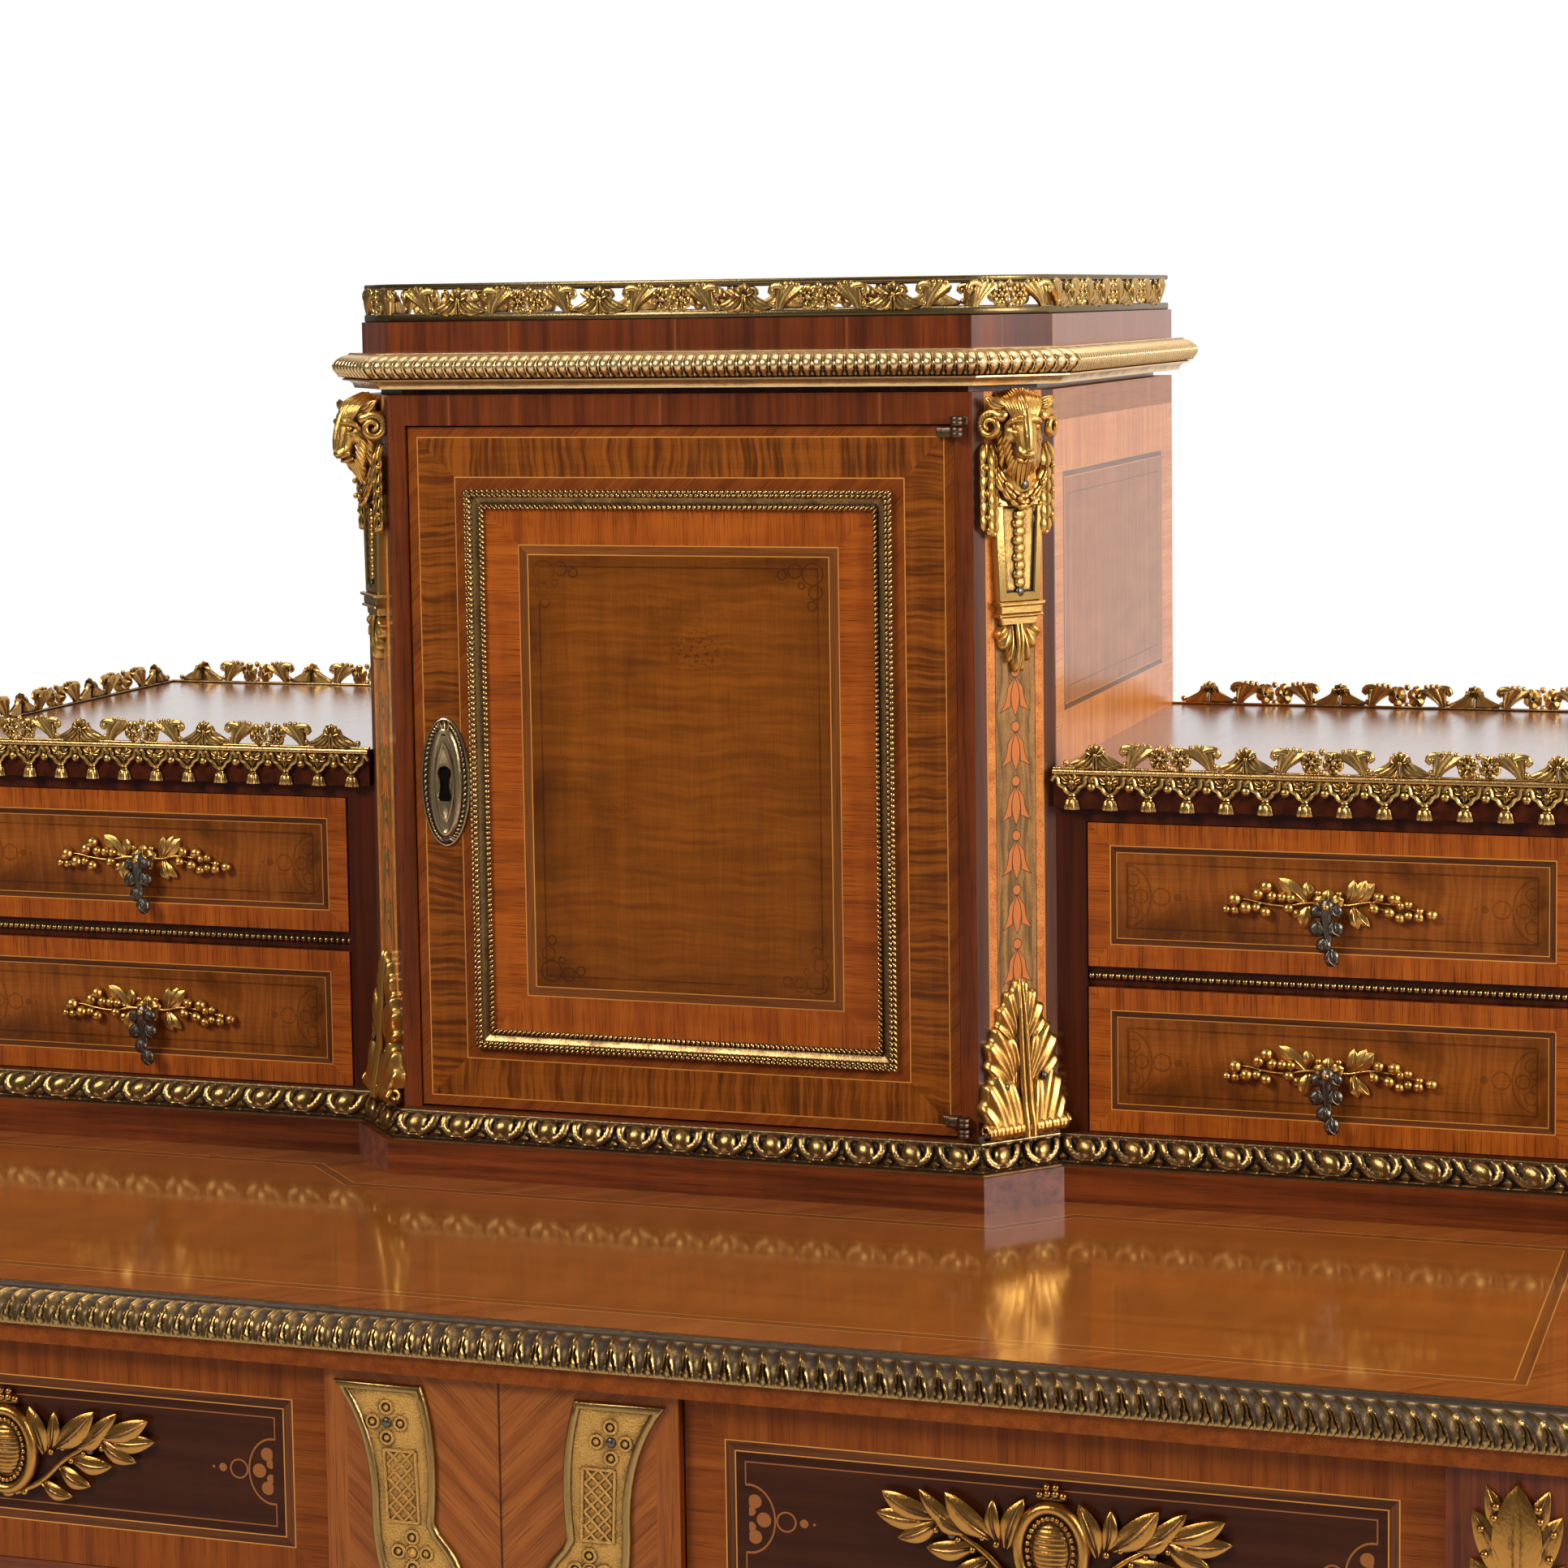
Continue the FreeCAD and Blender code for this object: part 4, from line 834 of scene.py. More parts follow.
# Hollow or full tongues that narrow down to beads; bead is (place down the profile, radius)
def tongues(depth, start, bead, pitch, run, full=False):
    ground = -0.35

    def relief(s, t):
        if t <= start:
            return 0
        a = abs(s - 0.5)
        down = (t - start) / (1 - start)
        half = 0.46 * (1 - 0.6 * min(1, down / 0.92) ** 2.2)
        q = a / half
        if q < 1:
            lift = 1.1 * dome(q) - 0.45 if full else 0.95 * q ** 5 - (1 - q * q) * (1 - 0.65 * down)
        else:
            lift = max(ground, 0.95 * (1 - (q - 1) * 6) + ground)
            spine = 1 - (0.5 - a) / 0.06
            lift = max(lift, spine * 0.7 * min(1, down * 2))
        spot = math.hypot((0.5 - a) * pitch, (t - bead[0]) * run) / bead[1]
        if spot < 1:
            lift = max(lift, ground + 1.55 * dome(spot))
        return lift * depth * min(1, down * 8) * min(1, (1 - down) * 12)
    return relief


def eggs(depth):    # tall eggs in ribbons that open upwards, with star darts between
    ground = -0.7

    def relief(s, t):
        if not 0 <= t <= 1:
            return 0
        a = abs(s - 0.5)
        lift = ground
        egg = math.hypot(a / 0.215, (t - 0.42) / 0.45)
        if egg < 1:
            lift = -0.3 + 1.4 * dome(egg)
        shell = math.hypot(a / 0.37, max(0, t - 0.28) / 0.58)
        ribbon = abs(shell - 1) / 0.27
        if ribbon < 1:
            lift = max(lift, ground + 1.25 * dome(ribbon) - 0.3 * max(0, 1 - ribbon * 3.5))
        dart = (0.5 - a) / 0.11 + abs(t - 0.8) / 0.2
        lift = max(lift, 0.8 * (1 - dart) - 0.1) if dart < 1 else lift
        return lift * depth * min(1, t * 8) * min(1, (1 - t) * 10)
    return relief


# Each moulding's form is what enriched takes: profile, repeat, patina and painted shade
tableEdge = {
    "inner": 20.6, "bead": (0.895, 1.5), "run": 30,
    "form": {"front": [(0, 15.4), (1.4, 15.6), (1.7, 14.9), (2.1, 14.9), (2.4, 15.5), (3.8, 15.5), (4.2, 14.2),
                       *bend((4.8, 13.8), (15.3, 10.9), (19, 1.3), 17), (18.4, 0)],
             "back": [(9, 0), (0, 0), (0, 8)],
             # the fillets above start are painted darker: painted shade on the top fillets
             "pitch": 8.7, "per": 12, "depth": 1.5, "shade": 0.4, "start": 0.3},
}


def buildTableEdge():
    low, high = millimetres("table_edge_moulding")
    inner, form = tableEdge["inner"], tableEdge["form"]
    left, right, front = low.x + inner, high.x - inner, low.y + inner
    relief = tongues(form["depth"], form["start"], tableEdge["bead"], form["pitch"], tableEdge["run"])
    bm = bmesh.new()
    enriched(bm, [(left, high.y), (left, front), (right, front), (right, high.y)], low.z, relief=relief, **form)
    piece(bm, "table_edge_leaf_moulding", "carcass", "aged brass", "table_edge_moulding")


cornice = {
    "relief": 1.2, "start": 0.17, "bead": (0.9, 1.1), "run": 20, "patina": 0.55,
    "form": {"front": [(0, 18.4), (6.8, 18.8), (7.2, 18.1), *bend((7.4, 17.9), (14.9, 12.2), (9.4, 5.4), 16)],
             "back": [(10.6, 5), (10.6, 4.2), *bend((9.4, 4), (6.2, 3), (4.8, 1), 3), (4.6, 0), (0, 0),
                      (0, 9)],
             "pitch": 5.5, "per": 10},
}


def buildCornice():
    low, form = millimetres("cornice_moulding")[0], cornice["form"]
    relief = tongues(cornice["relief"], cornice["start"], cornice["bead"], form["pitch"], cornice["run"], full=True)
    bm = bmesh.new()
    enriched(bm, capPath(), low.z, relief=relief, depth=cornice["relief"] * cornice["patina"], **form)
    piece(bm, "cornice_leaf_moulding", "carcass", "cornice gilt", "cornice_moulding")


eggRow = {
    "ahead": 11.1, "flat": 165, "cant": 33.3, "wing": -11,
    "fillets": [(0, 15.3), (2.2, 15.4), (2.5, 14.4)], "curve": bend((2.9, 14.4), (6.4, 8.6), (8, 2), 20),
    "foot": [(7.4, 1.2), (7.4, 0.6), (7.4, 0)],
    "form": {"back": [(5, 0), (0, 0), (0, 8)], "pitch": 25.6, "per": 26, "depth": 2.5},
}


def buildEggRow():
    low = millimetres("egg_and_dart_moulding")[0]
    baseLow, baseHigh = millimetres("upper_base")
    flat, wing, corner = eggRow["flat"], eggRow["wing"], eggRow["flat"] + eggRow["cant"]
    path = [(baseLow.x, baseHigh.y), (baseLow.x, wing), (-corner, wing), (-flat, baseLow.y), (flat, baseLow.y),
            (corner, wing), (baseHigh.x, wing), (baseHigh.x, baseHigh.y)]
    front = eggRow["fillets"] + eggRow["curve"] + eggRow["foot"]
    first, rows, count = len(eggRow["fillets"]), len(eggRow["curve"]) - 1, len(front) - 1
    carve = eggs(eggRow["form"]["depth"])
    bm = bmesh.new()
    enriched(bm, offset(path, -eggRow["ahead"]), low.z, front,
             relief=lambda s, t: carve(s, (t * count - first) / rows), **eggRow["form"])
    piece(bm, "egg_and_dart_row", "carcass", "aged brass", "egg_and_dart_moulding")


doorFrame = {"front": [(0, 0), (0.1, 2.2), *bend((0.4, 2.8), (2.2, 4.2), (4.2, 2.8), 10),
                       *bend((4.5, 2.7), (6.2, 1.8), (7.4, 1.3), 4), *bend((7.7, 1.2), (9.1, 1.6), (10.5, 1.2), 7),
                       (10.7, 0)],
             "back": [(6, 0)], "pitch": 2.95, "per": 8, "depth": 1, "closed": True}


def frameRelief(s, t):    # two rows of fine beads outside, a plain hollow, larger beads inside
    if t < 0.44:
        row = 0 if t < 0.24 else 1
        along = ((s + 0.5 * row) % 1 - 0.5) * doorFrame["pitch"]
        return 1.3 * dome(min(1, math.hypot(along, (t - 0.13 - 0.21 * row) * 13) / 1.4)) - 0.35
    if t < 0.68:
        return -0.35
    spot = math.hypot((s - 0.5) * doorFrame["pitch"], (t - 0.83) * 10.4) / 1.42
    return 1.7 * dome(min(1, spot)) - 0.3


def buildDoorFrame():
    low, high = millimetres("door_frame_moulding")
    path = [(low.x, low.z), (low.x, high.z), (high.x, high.z), (high.x, low.z)]    # drawn flat, then stood up
    bm = bmesh.new()
    enriched(bm, path, 0, relief=frameRelief, **doorFrame)
    stand = Matrix(((1, 0, 0, 0), (0, 0, -1, high.y), (0, 1, 0, 0), (0, 0, 0, 1)))
    bmesh.ops.transform(bm, matrix=stand, verts=bm.verts)
    piece(bm, "door_frame_beading", "door", "frame brass", "door_frame_moulding")


bay = 207.5    # where the wing's drawers start
beadRow = {"front": bend((0, 4.7), (1.3, 2.5), (0, 0.3), 7), "back": [(0, 2.5)], "pitch": 3.45, "per": 8,
           "depth": 0.55}


def beadRelief(s, t):
    return (1.75 * dome(min(1, abs(s - 0.5) / 0.46)) - beadRow["depth"]) * math.sin(math.pi * t)


def buildBeadRows():
    low, high = millimetres("bead_strips")
    bm = bmesh.new()
    enriched(bm, [(bay, high.y), (high.x, high.y)], low.z, relief=beadRelief, **beadRow)
    mirrorOver(bm)
    piece(bm, "drawer_bead_strips", "carcass", "aged brass", "bead_strips")


print("mouldings")
buildTableEdge()
buildCornice()
buildEggRow()
buildDoorFrame()
buildBeadRows()

crest = {"pitch": 80, "first": 22, "inset": 1.2, "rail": 1.4, "thick": 2.4, "sink": 1}
fringe = {"pitch": 20, "strip": 2.4, "above": 0.3, "thick": 2.4, "rise": 1}
capCrest = {"inset": 3, "pitch": 78, "topRail": 2.8, "baseRail": 4, "topThick": 2.6, "baseThick": 3,
            "sink": 0.7, "end": 1}
motif = {
    "tall": 12.4, "pitch": 80,
    "fanRoot": [(0.3, 9.4), (0.6, 7.4)],
    "fanEdge": [(5.4, 9.6), (5.8, 7.6), (7.4, 5.2), (10.2, 3.6), (13.2, 2.8), (15.6, 1.4), (12, 0.2), (8, 0),
                (4, 0), (0.2, 0)],
    "fanLeaves": [((2.4, 8.6), (16, 2), 4.6, 0.2, 2.6), ((1.6, 7), (12.4, 1), 4.8, 0.8, 2.2),
                  ((0.9, 5.6), (7.8, 0.6), 4.4, 1.2, 1.4)],
    "fanStalk": [(0.9, 0.2, 1.9, 0.7), (1, 3.4, 2.2, 0.8), (0.6, 6.6, 2, 0.5)],
    "armRoot": [(23.4, 0.2), (19.4, 0.2)],
    "armEdge": [(23.6, 7.4), (21.6, 9.6), (17.6, 11), (13.2, 11.2), (9, 10.2), (8.6, 7.6)],
    "armCurl": [(16.5, 9, 0.6, 1.4), (20.6, 10.7, 0.8, 1.6), (24.6, 10.4, 0.8, 1.5), (26.2, 8.2, 0.8, 1.3),
                (24.2, 6.8, 0.8, 0.9)],
    "armBerries": [(24.2, 8.4, 1.7), (20.8, 11.1, 1.4), (17.6, 11.5, 1.4), (14.4, 11.5, 1.5), (11.2, 11.1, 1.4)],
    "rose": (5.7, 5.9), "petal": 5.9, "heart": 1.2, "roseBeads": 2.1,
}
lappet = {
    "edge": [(10.2, -4.4, 0.5, 1), (9.2, -2.4, 0.5, 1.1), (7.7, -2, 0.6, 1.1), (7.1, -4, 0.7, 1.15),
             (6.4, -6.2, 0.7, 1.15), (4.2, -7.4, 0.7, 1.15), (3, -9.4, 0.7, 1.1), (1.4, -10.6, 0.6, 1),
             (0, -11, 0.5, 0.9)],
    "shell": [((5.4, -1.8), 2.8), ((5.2, -4.6), 2.6), ((2.2, -0.8), 2.6)],
    "knot": [(0.05, -10.6), (2, -10.9), (2.2, -11.7), (1.5, -12.2), (2.2, -12.5), (2.3, -13.2), (1.8, -13.6)],
    "tassel": [(1.8, -13.4), (3, -14.2), (3.6, -16.4), (4.1, -18.6), (3.6, -18.9), (0.05, -18.7)],
    "bud": [(0.05, -3.4), (1.8, -3.6), (1.9, -4.6), (1.2, -5), (1.6, -5.4), (2.5, -6.4), (2.5, -7.6), (1.8, -9),
            (0.05, -9.7)],
    "budPlace": 10.15,
}


def fanShape(bm):    # leaves that fall to both sides under a shell, modelled on both faces
    for side in (-1, 1):
        lobe(bm, side, motif["fanRoot"], motif["fanEdge"], flutes=4, out=0.3, rise=0.6, depth=0.2, cut=0.05,
             bow=-0.15, backed=True, steps=2, rows=6)
        for root, tip, wide, out, sway in motif["fanLeaves"]:
            leaf(bm, *flip(side, (root, tip)), wide, 1.7, out=out, rise=0.9, tipOut=0.4, sway=side * sway, steps=7,
                 back=1, blunt=1)
        ball(bm, side * 16, 2.6, 0.6, 1.6, squash=0.8)
        stem(bm, flip(side, motif["fanStalk"]), steps=2)
    for rib in range(5):
        angle = math.radians(-72 + 36 * rib)
        tip = (5.6 * math.sin(angle), 7.2 + 5.2 * math.cos(angle))
        leaf(bm, (0, 6.4), tip, 3.8, 1.9, out=1, rise=0.7, tipOut=0.2, back=2, blunt=1.7)
    ball(bm, 0, 6.6, 2.2, 1.3, squash=0.8)


def armShape(bm):    # a fluted arm that rises from the rail to the roses, under a row of berries
    lobe(bm, 1, motif["armRoot"], motif["armEdge"], flutes=3, out=0.9, rise=1, depth=0.5, cut=0.06, bow=0.25,
         backed=True, steps=4, rows=8)
    stem(bm, motif["armCurl"], steps=2, sides=7)
    for x, z, radius in motif["armBerries"]:
        ball(bm, x, z, 1.1, radius, sides=7, squash=0.8)


def roseShape(bm):    # the pair of roses where two arms meet
    place, z = motif["rose"]

    def around(degrees, reach):
        angle = math.radians(degrees)
        return side * place + reach * math.cos(angle), z + reach * math.sin(angle)

    for side in (-1, 1):
        for petal in range(5):
            turn = 72 * petal + 36 * (side > 0) + 18
            leaf(bm, around(turn, motif["heart"]), around(turn, motif["petal"]), 5.6, 2, rise=0.9, tipOut=0.8, back=1,
                 blunt=1.5)
        for bead in range(5):
            ball(bm, *around(72 * bead + 54, motif["roseBeads"]), 1.9, 0.8, sides=6, squash=0.8)
        ball(bm, side * place, z, 2.1, 1.3, squash=0.8)
    for high in (1.3, 10.8):
        ball(bm, 0, high, 0.8, 1.8, squash=0.8)


def lappetShape(bm):    # one ogee lappet with a shell and a tassel, and the bud after it
    for side in (-1, 1):
        stem(bm, flip(side, lappet["edge"]), steps=2, sides=7)
        for tip, wide in lappet["shell"]:
            leaf(bm, (0, -4.6), (side * tip[0], tip[1]), wide, 1.6, out=0.2, rise=0.5, tipOut=0.3, back=0.2,
                 blunt=1.6)
        leaf(bm, (0, -5.4), (side * 3.2, -7.4), 2.4, 1.4, out=0.2, rise=0.4)
    leaf(bm, (0, 0.2), (0, -11), 16.4, 0.4, out=-0.6, steps=7, back=0.5, blunt=0.42)
    leaf(bm, (0, -5), (0, -9.6), 3, 1.5, out=0.2, rise=0.4)
    ball(bm, 0, -4.8, 1.2, 1.5, squash=0.8)
    turned(bm, 0, 0.3, lappet["knot"], squash=0.8)
    turned(bm, 0, 0.3, lappet["tassel"], sides=20, squash=0.6, flutes=0.24)
    turned(bm, lappet["budPlace"], 0.3, lappet["bud"], sides=10, squash=0.8)


def rail(bm, path, base, low, high, thick, closed=False):    # a bar with eased edges
    half, ease = thick / 2, min(0.5, thick / 4)
    section = [(-half, high - ease), (-half + ease, high), (half - ease, high), (half, high - ease),
               (half, low + ease), (half - ease, low), (-half + ease, low), (-half, low + ease)]
    enriched(bm, path, base, section, back=[], pitch=math.inf, per=1, closed=closed)


# Fans, rose pairs and arms along one run; at an open end a lone arm leans on the corner
def cresting(bm, start, end, z, grow, step, fans, roses, arms=()):
    place = runFrame(start, end, z)
    size = step / motif["pitch"]
    shapes = [("fan", spot, 1) for spot in fans] + [("rose", spot, 1) for spot in roses]
    shapes += [("arm", *arm) for arm in arms] + [("arm", spot, side) for spot in roses for side in (-1, 1)]
    for shape, spot, side in shapes:
        grown = Matrix.Diagonal((side * size, 1, grow, 1))
        stamp(bm, moulds[shape], place @ Matrix.Translation((spot, 0, 0)) @ grown)


def buildWingGalleries():
    low, high = millimetres("wing_galleries")
    topLow, topHigh = millimetres("wing_tops")
    inner = millimetres("cabinet_sides")[1].x
    front, right, back = topLow.y + crest["inset"], topHigh.x - crest["inset"], topHigh.y - crest["inset"]
    path = [Vector(spot) for spot in ((inner, front), (right, front), (right, back), (inner, back))]
    bars, bm = bmesh.new(), bmesh.new()
    rail(bars, path, topHigh.z, 0, crest["rail"], crest["thick"])
    grow = (high.z - topHigh.z - crest["rail"] + crest["sink"]) / motif["tall"]
    first = crest["first"]
    for start, end in zip(path, path[1:]):
        length = (end - start).length - 2 * first
        count = round(length / crest["pitch"])
        step = length / count
        cresting(bm, start, end, topHigh.z + crest["rail"] - crest["sink"], grow, step,
                 [first + step * index for index in range(count + 1)],
                 [first + step * (index + 0.5) for index in range(count)])
    mirrorOver(bm)
    piece(bm, "wing_crest_galleries", "carcass", "gallery gilt", "wing_galleries")

    edge = (topLow.y - low.y) / 2
    front, right = topLow.y - edge, topHigh.x + edge
    path = [Vector(spot) for spot in ((inner, front), (right, front), (right, topHigh.y))]
    foot = topHigh.z - fringe["strip"]
    rail(bars, path, foot, 0, fringe["strip"] + fringe["above"], fringe["thick"])
    mirrorOver(bars)
    piece(bars, "wing_gallery_rails", "carcass", "frame brass")
    stamps = []
    for start, end in zip(path, path[1:]):
        length = (end - start).length
        count = round(length / fringe["pitch"])
        place = runFrame(start, end, foot + fringe["rise"])
        stamps += [(moulds["lappet"], place @ Matrix.Translation(((index + 0.5) * length / count, 0, 0)))
                   for index in range(count)]
    stamped("wing_tassel_fringes", "carcass", "gallery gilt", stamps, mirrored=True, crease=50)


def buildCapGallery():
    low, high = millimetres("cap_gallery")
    path = offset(capPath(), -capCrest["inset"], closed=True)
    tall = high.z - low.z
    base, under = capCrest["baseRail"], tall - capCrest["topRail"]
    bm = bmesh.new()
    rail(bm, path, low.z, 0, base, capCrest["baseThick"], closed=True)
    rail(bm, path, low.z, under, tall, capCrest["topThick"], closed=True)
    piece(bm, "cap_gallery_rails", "carcass", "worn brass")
    bm = bmesh.new()
    grow = (under - base + 2 * capCrest["sink"]) / motif["tall"]
    foot = low.z + base - capCrest["sink"]
    for start, end in zip(path, path[1:] + path[:1]):
        length = (end - start).length
        count = 2 * round(length / capCrest["pitch"] / 2)
        if count:
            step = length / count
            fans = [step * (index + 0.5) for index in range(count)]
            roses = [step * index for index in range(1, count)]
            cresting(bm, start, end, foot, grow, step, fans, roses,
                     [(capCrest["end"], 1), (length - capCrest["end"], -1)])
        else:
            cresting(bm, start, end, foot, grow, motif["pitch"], [], [length / 2])
    piece(bm, "cap_pierced_gallery", "carcass", "gallery gilt", "cap_gallery")


print("galleries")
moulds = {"fan": mould(fanShape), "arm": mould(armShape), "rose": mould(roseShape), "lappet": mould(lappetShape)}
buildWingGalleries()
buildCapGallery()


def fused(bm, voxel, passes):    # one skin over overlapping forms, then softened
    mesh = bpy.data.meshes.new("fused")
    bm.to_mesh(mesh)
    bm.clear()
    form = linked("fused", mesh)
    remesh = form.modifiers.new("remesh", "REMESH")
    remesh.mode = "VOXEL"
    remesh.voxel_size = voxel
    bm.from_mesh(evaluated(form))
    bpy.data.objects.remove(form)
    for _ in range(passes):
        bmesh.ops.smooth_vert(bm, verts=bm.verts, factor=0.5, use_axis_x=True, use_axis_y=True, use_axis_z=True)


# Hair rows are x, z, out, radius, what share adds to x, z and out, and what wave adds to z and out
ram = {
    "screws": [(0, -45, 9.4), (0, -99.4, 4.6)], "screw": 2.5, "voxel": 0.5, "turn": 18, "raise": 2.6,
    "skull": [(-10.5, 8.5, 9.8, 10, 9.6), (-10.5, 14.2, 8.6, 7.4, 6.8)],
    "face": [(0, -12, 14.2, 8), (0, -18.5, 17.2, 7), (0, -25, 19.8, 5.6), (0, -30, 21, 4.7),
             (0, -33, 20.2, 3.4)],
    "jaw": [(-34.4, 17.4, 3.9, 2.7, 4.4), (-31.4, 24, 3.8, 2.3, 2.3)],
    "nose": [(0, -6, 18.6, 2.4), (0, -15, 22.6, 2.6), (0, -24, 25, 2.3), (0, -30, 25.2, 1.9)],
    "folds": [(8, [(1.7, -14.2, 22.6, 1.5), (4.8, -14.4, 21.6, 2.1), (8, -16.2, 17.8, 1.7),
                   (9.4, -19.2, 13.6, 1)]),
              (6, [(2.6, -20.6, 22.6, 0.8), (5.2, -21.4, 20.8, 1), (7.8, -20, 17.4, 0.8)]),
              (6, [(1.9, -31.6, 25.2, 0.9), (3.9, -30.2, 23.2, 1.2), (4.2, -28, 22.2, 0.8)]),
              (6, [(0.3, -33.2, 24.6, 0.9), (2.6, -33.2, 22.8, 1), (4.8, -31.4, 19.2, 0.8)]),
              (6, [(0.3, -35.6, 21.6, 1), (2.8, -35.2, 19.8, 1.1), (4.6, -33.2, 16.4, 0.8)])],
    "hornRoot": (8, -10, 13.5, 2.4), "hornEye": (15.2, -17.6, 11.6), "hornTurn": 48, "hornSteps": 14,
    "hair": [(0.6, -14.6, 23.4, 0.4, 5.8, 1.4, -4.4, -1, 0), (1, -9.4, 21.2, 1.3, 7.2, 0.8, -4.6, 0, 0),
             (1.3, -4.4, 17.2, 1.5, 8.4, -0.6, -4.8, 0, 1), (1.1, -0.8, 10, 1.1, 8.8, -2.4, -3.2, 0, 0),
             (1.6, 0.6, 6, 0.4, 9.4, -2, -1, 1, 0)],
    "wool": [[(7.6, -20.6, 17.4, 0.8, -0.5, -2.9, -0.3, 0, 0), (9.2, -24.4, 14.4, 1.5, -0.8, -3.2, -0.4, 0, 0),
              (9.4, -29.6, 11, 0.4, -1.1, -3.4, 0, 0, 0)],
             [(8.8, -18, 14, 0.8, 0, -3.4, -0.5, 0, 0), (10.6, -22, 10.6, 1.6, -0.3, -3.5, -0.3, 0, 0),
              (10.2, -27.4, 6.8, 0.5, -0.5, -3.6, 0, 0, 0)]],
    "beard": [(1.2, -48), (3.8, -46), (6.2, -43)],
}
term = {
    "outline": [(-13, -104.6), (13, -104.6), (15.8, -51), (-15.8, -51)],
    "steps": [(0, 0), (0, 3.8), (0.8, 4.8), (4.4, 5.5), (5, 5), (5.5, 3.6), (6.4, 3.5)],
    "blocks": [(14, 14.4, -106.2, -104.4, 7.6), (12.8, 12.8, -110.4, -106.2, 6),
               (13.8, 13.4, -112, -110.4, 7), (10.4, 11.6, -116.2, -112, 4.6)],
    "dropRoot": [(7, -115.8), (0.4, -115.8)],
    "dropEdge": [(11.6, -117), (13.4, -121), (12.4, -126.4), (8.8, -129.4), (7.2, -133.2), (4.8, -137),
                 (2.4, -140), (0.2, -141.8)],
    "dropRib": [(1.2, -115.8, 3.4, 1.1), (1.2, -124, 4.8, 1.2), (0.8, -133, 4.4, 0.9), (0.3, -140, 2.6, 0.5)],
    "garland": 16.4,
    "berries": [(21, -36, 5.2, 1.4), (12.4, -42, 5.2, 1.4), (20.6, -49, 5.2, 1.4), (12.4, -55, 5.2, 1.4),
                (20, -61, 5.2, 1.4)],
    "swagBerries": [(11, -44.4, 9.6, 1.5), (4, -52, 11, 1.5)],
}


def hairLock(bm, side, rows, share, wave=0):
    stem(bm, [(side * (x + dx * share), z + dz * share + wz * wave, out + dOut * share + wOut * wave, radius)
              for x, z, out, radius, dx, dz, dOut, wz, wOut in rows], sides=7)


def ramHead(bm):    # top of the head at z 0, looking straight out
    for form in ram["skull"]:
        oval(bm, 0, *form)
    stem(bm, ram["face"], sides=16, flat=0.98)
    for form in ram["jaw"]:
        oval(bm, 0, *form)
    stem(bm, ram["nose"], steps=2, sides=8)
    for side in (-1, 1):
        oval(bm, side * 5.6, -21, 13.2, 4.8, 7.2, 6)
        for sides, fold in ram["folds"]:
            stem(bm, flip(side, fold), steps=2, sides=sides)
    fused(bm, ram["voxel"], 2)
    eyeX, eyeZ, eyeOut = ram["hornEye"]
    facing = math.radians(ram["hornTurn"])
    for side in (-1, 1):
        oval(bm, side * 5.2, -18, 20.4, 2.3, 1.6, 1.8, sides=14)
        horn = [ram["hornRoot"]]
        for index in range(ram["hornSteps"]):    # the horn winds back under the ear and in again
            angle = math.radians(140 - 45 * index)
            reach = 7 - 0.43 * index
            lift = -1.2 + 0.34 * index
            horn.append((eyeX + reach * math.cos(angle) * math.cos(facing) + lift * math.sin(facing),
                         eyeZ + reach * math.sin(angle),
                         eyeOut - reach * math.cos(angle) * math.sin(facing) + lift * math.cos(facing),
                         2.8 - 0.15 * index))
        stem(bm, flip(side, horn), steps=5, sides=10, ridges=0.14)
        leaf(bm, (side * 8, -8.6), (side * 18.8, -3.2), 6.6, 2.6, out=12.8, rise=1, tipOut=-2, sway=side * 0.5,
             steps=9, back=0.6)
        leaf(bm, (side * 9.4, -8), (side * 17.2, -4), 3, 1.1, out=15.2, rise=0.3, tipOut=-1.8, sway=side * 0.3,
             steps=7, back=0.2)
        for lock in range(7):    # hair swept from the brow over the top
            hairLock(bm, side, ram["hair"], lock / 6, 0.5 * (lock % 2))
        for lock in range(5):    # wool on the cheek and under the jaw
            for rows in ram["wool"]:
                hairLock(bm, side, rows, lock)
        for drift, foot in ram["beard"]:
            stem(bm, flip(side, [(drift * 0.8, -34, 16, 1), (drift, -39, 12.4, 1.7),
                                 (drift * 0.8, foot, 9.4, 0.5)]), sides=7)


def ramBlock(bm):    # the tapering term and the block under it
    plate(bm, term["outline"], term["steps"])
    for foot, head, low, high, out in term["blocks"]:
        plate(bm, [(-foot, low), (foot, low), (head, high), (-head, high)],
              [(0, 0), (0, out - 0.7), (0.55, out)])


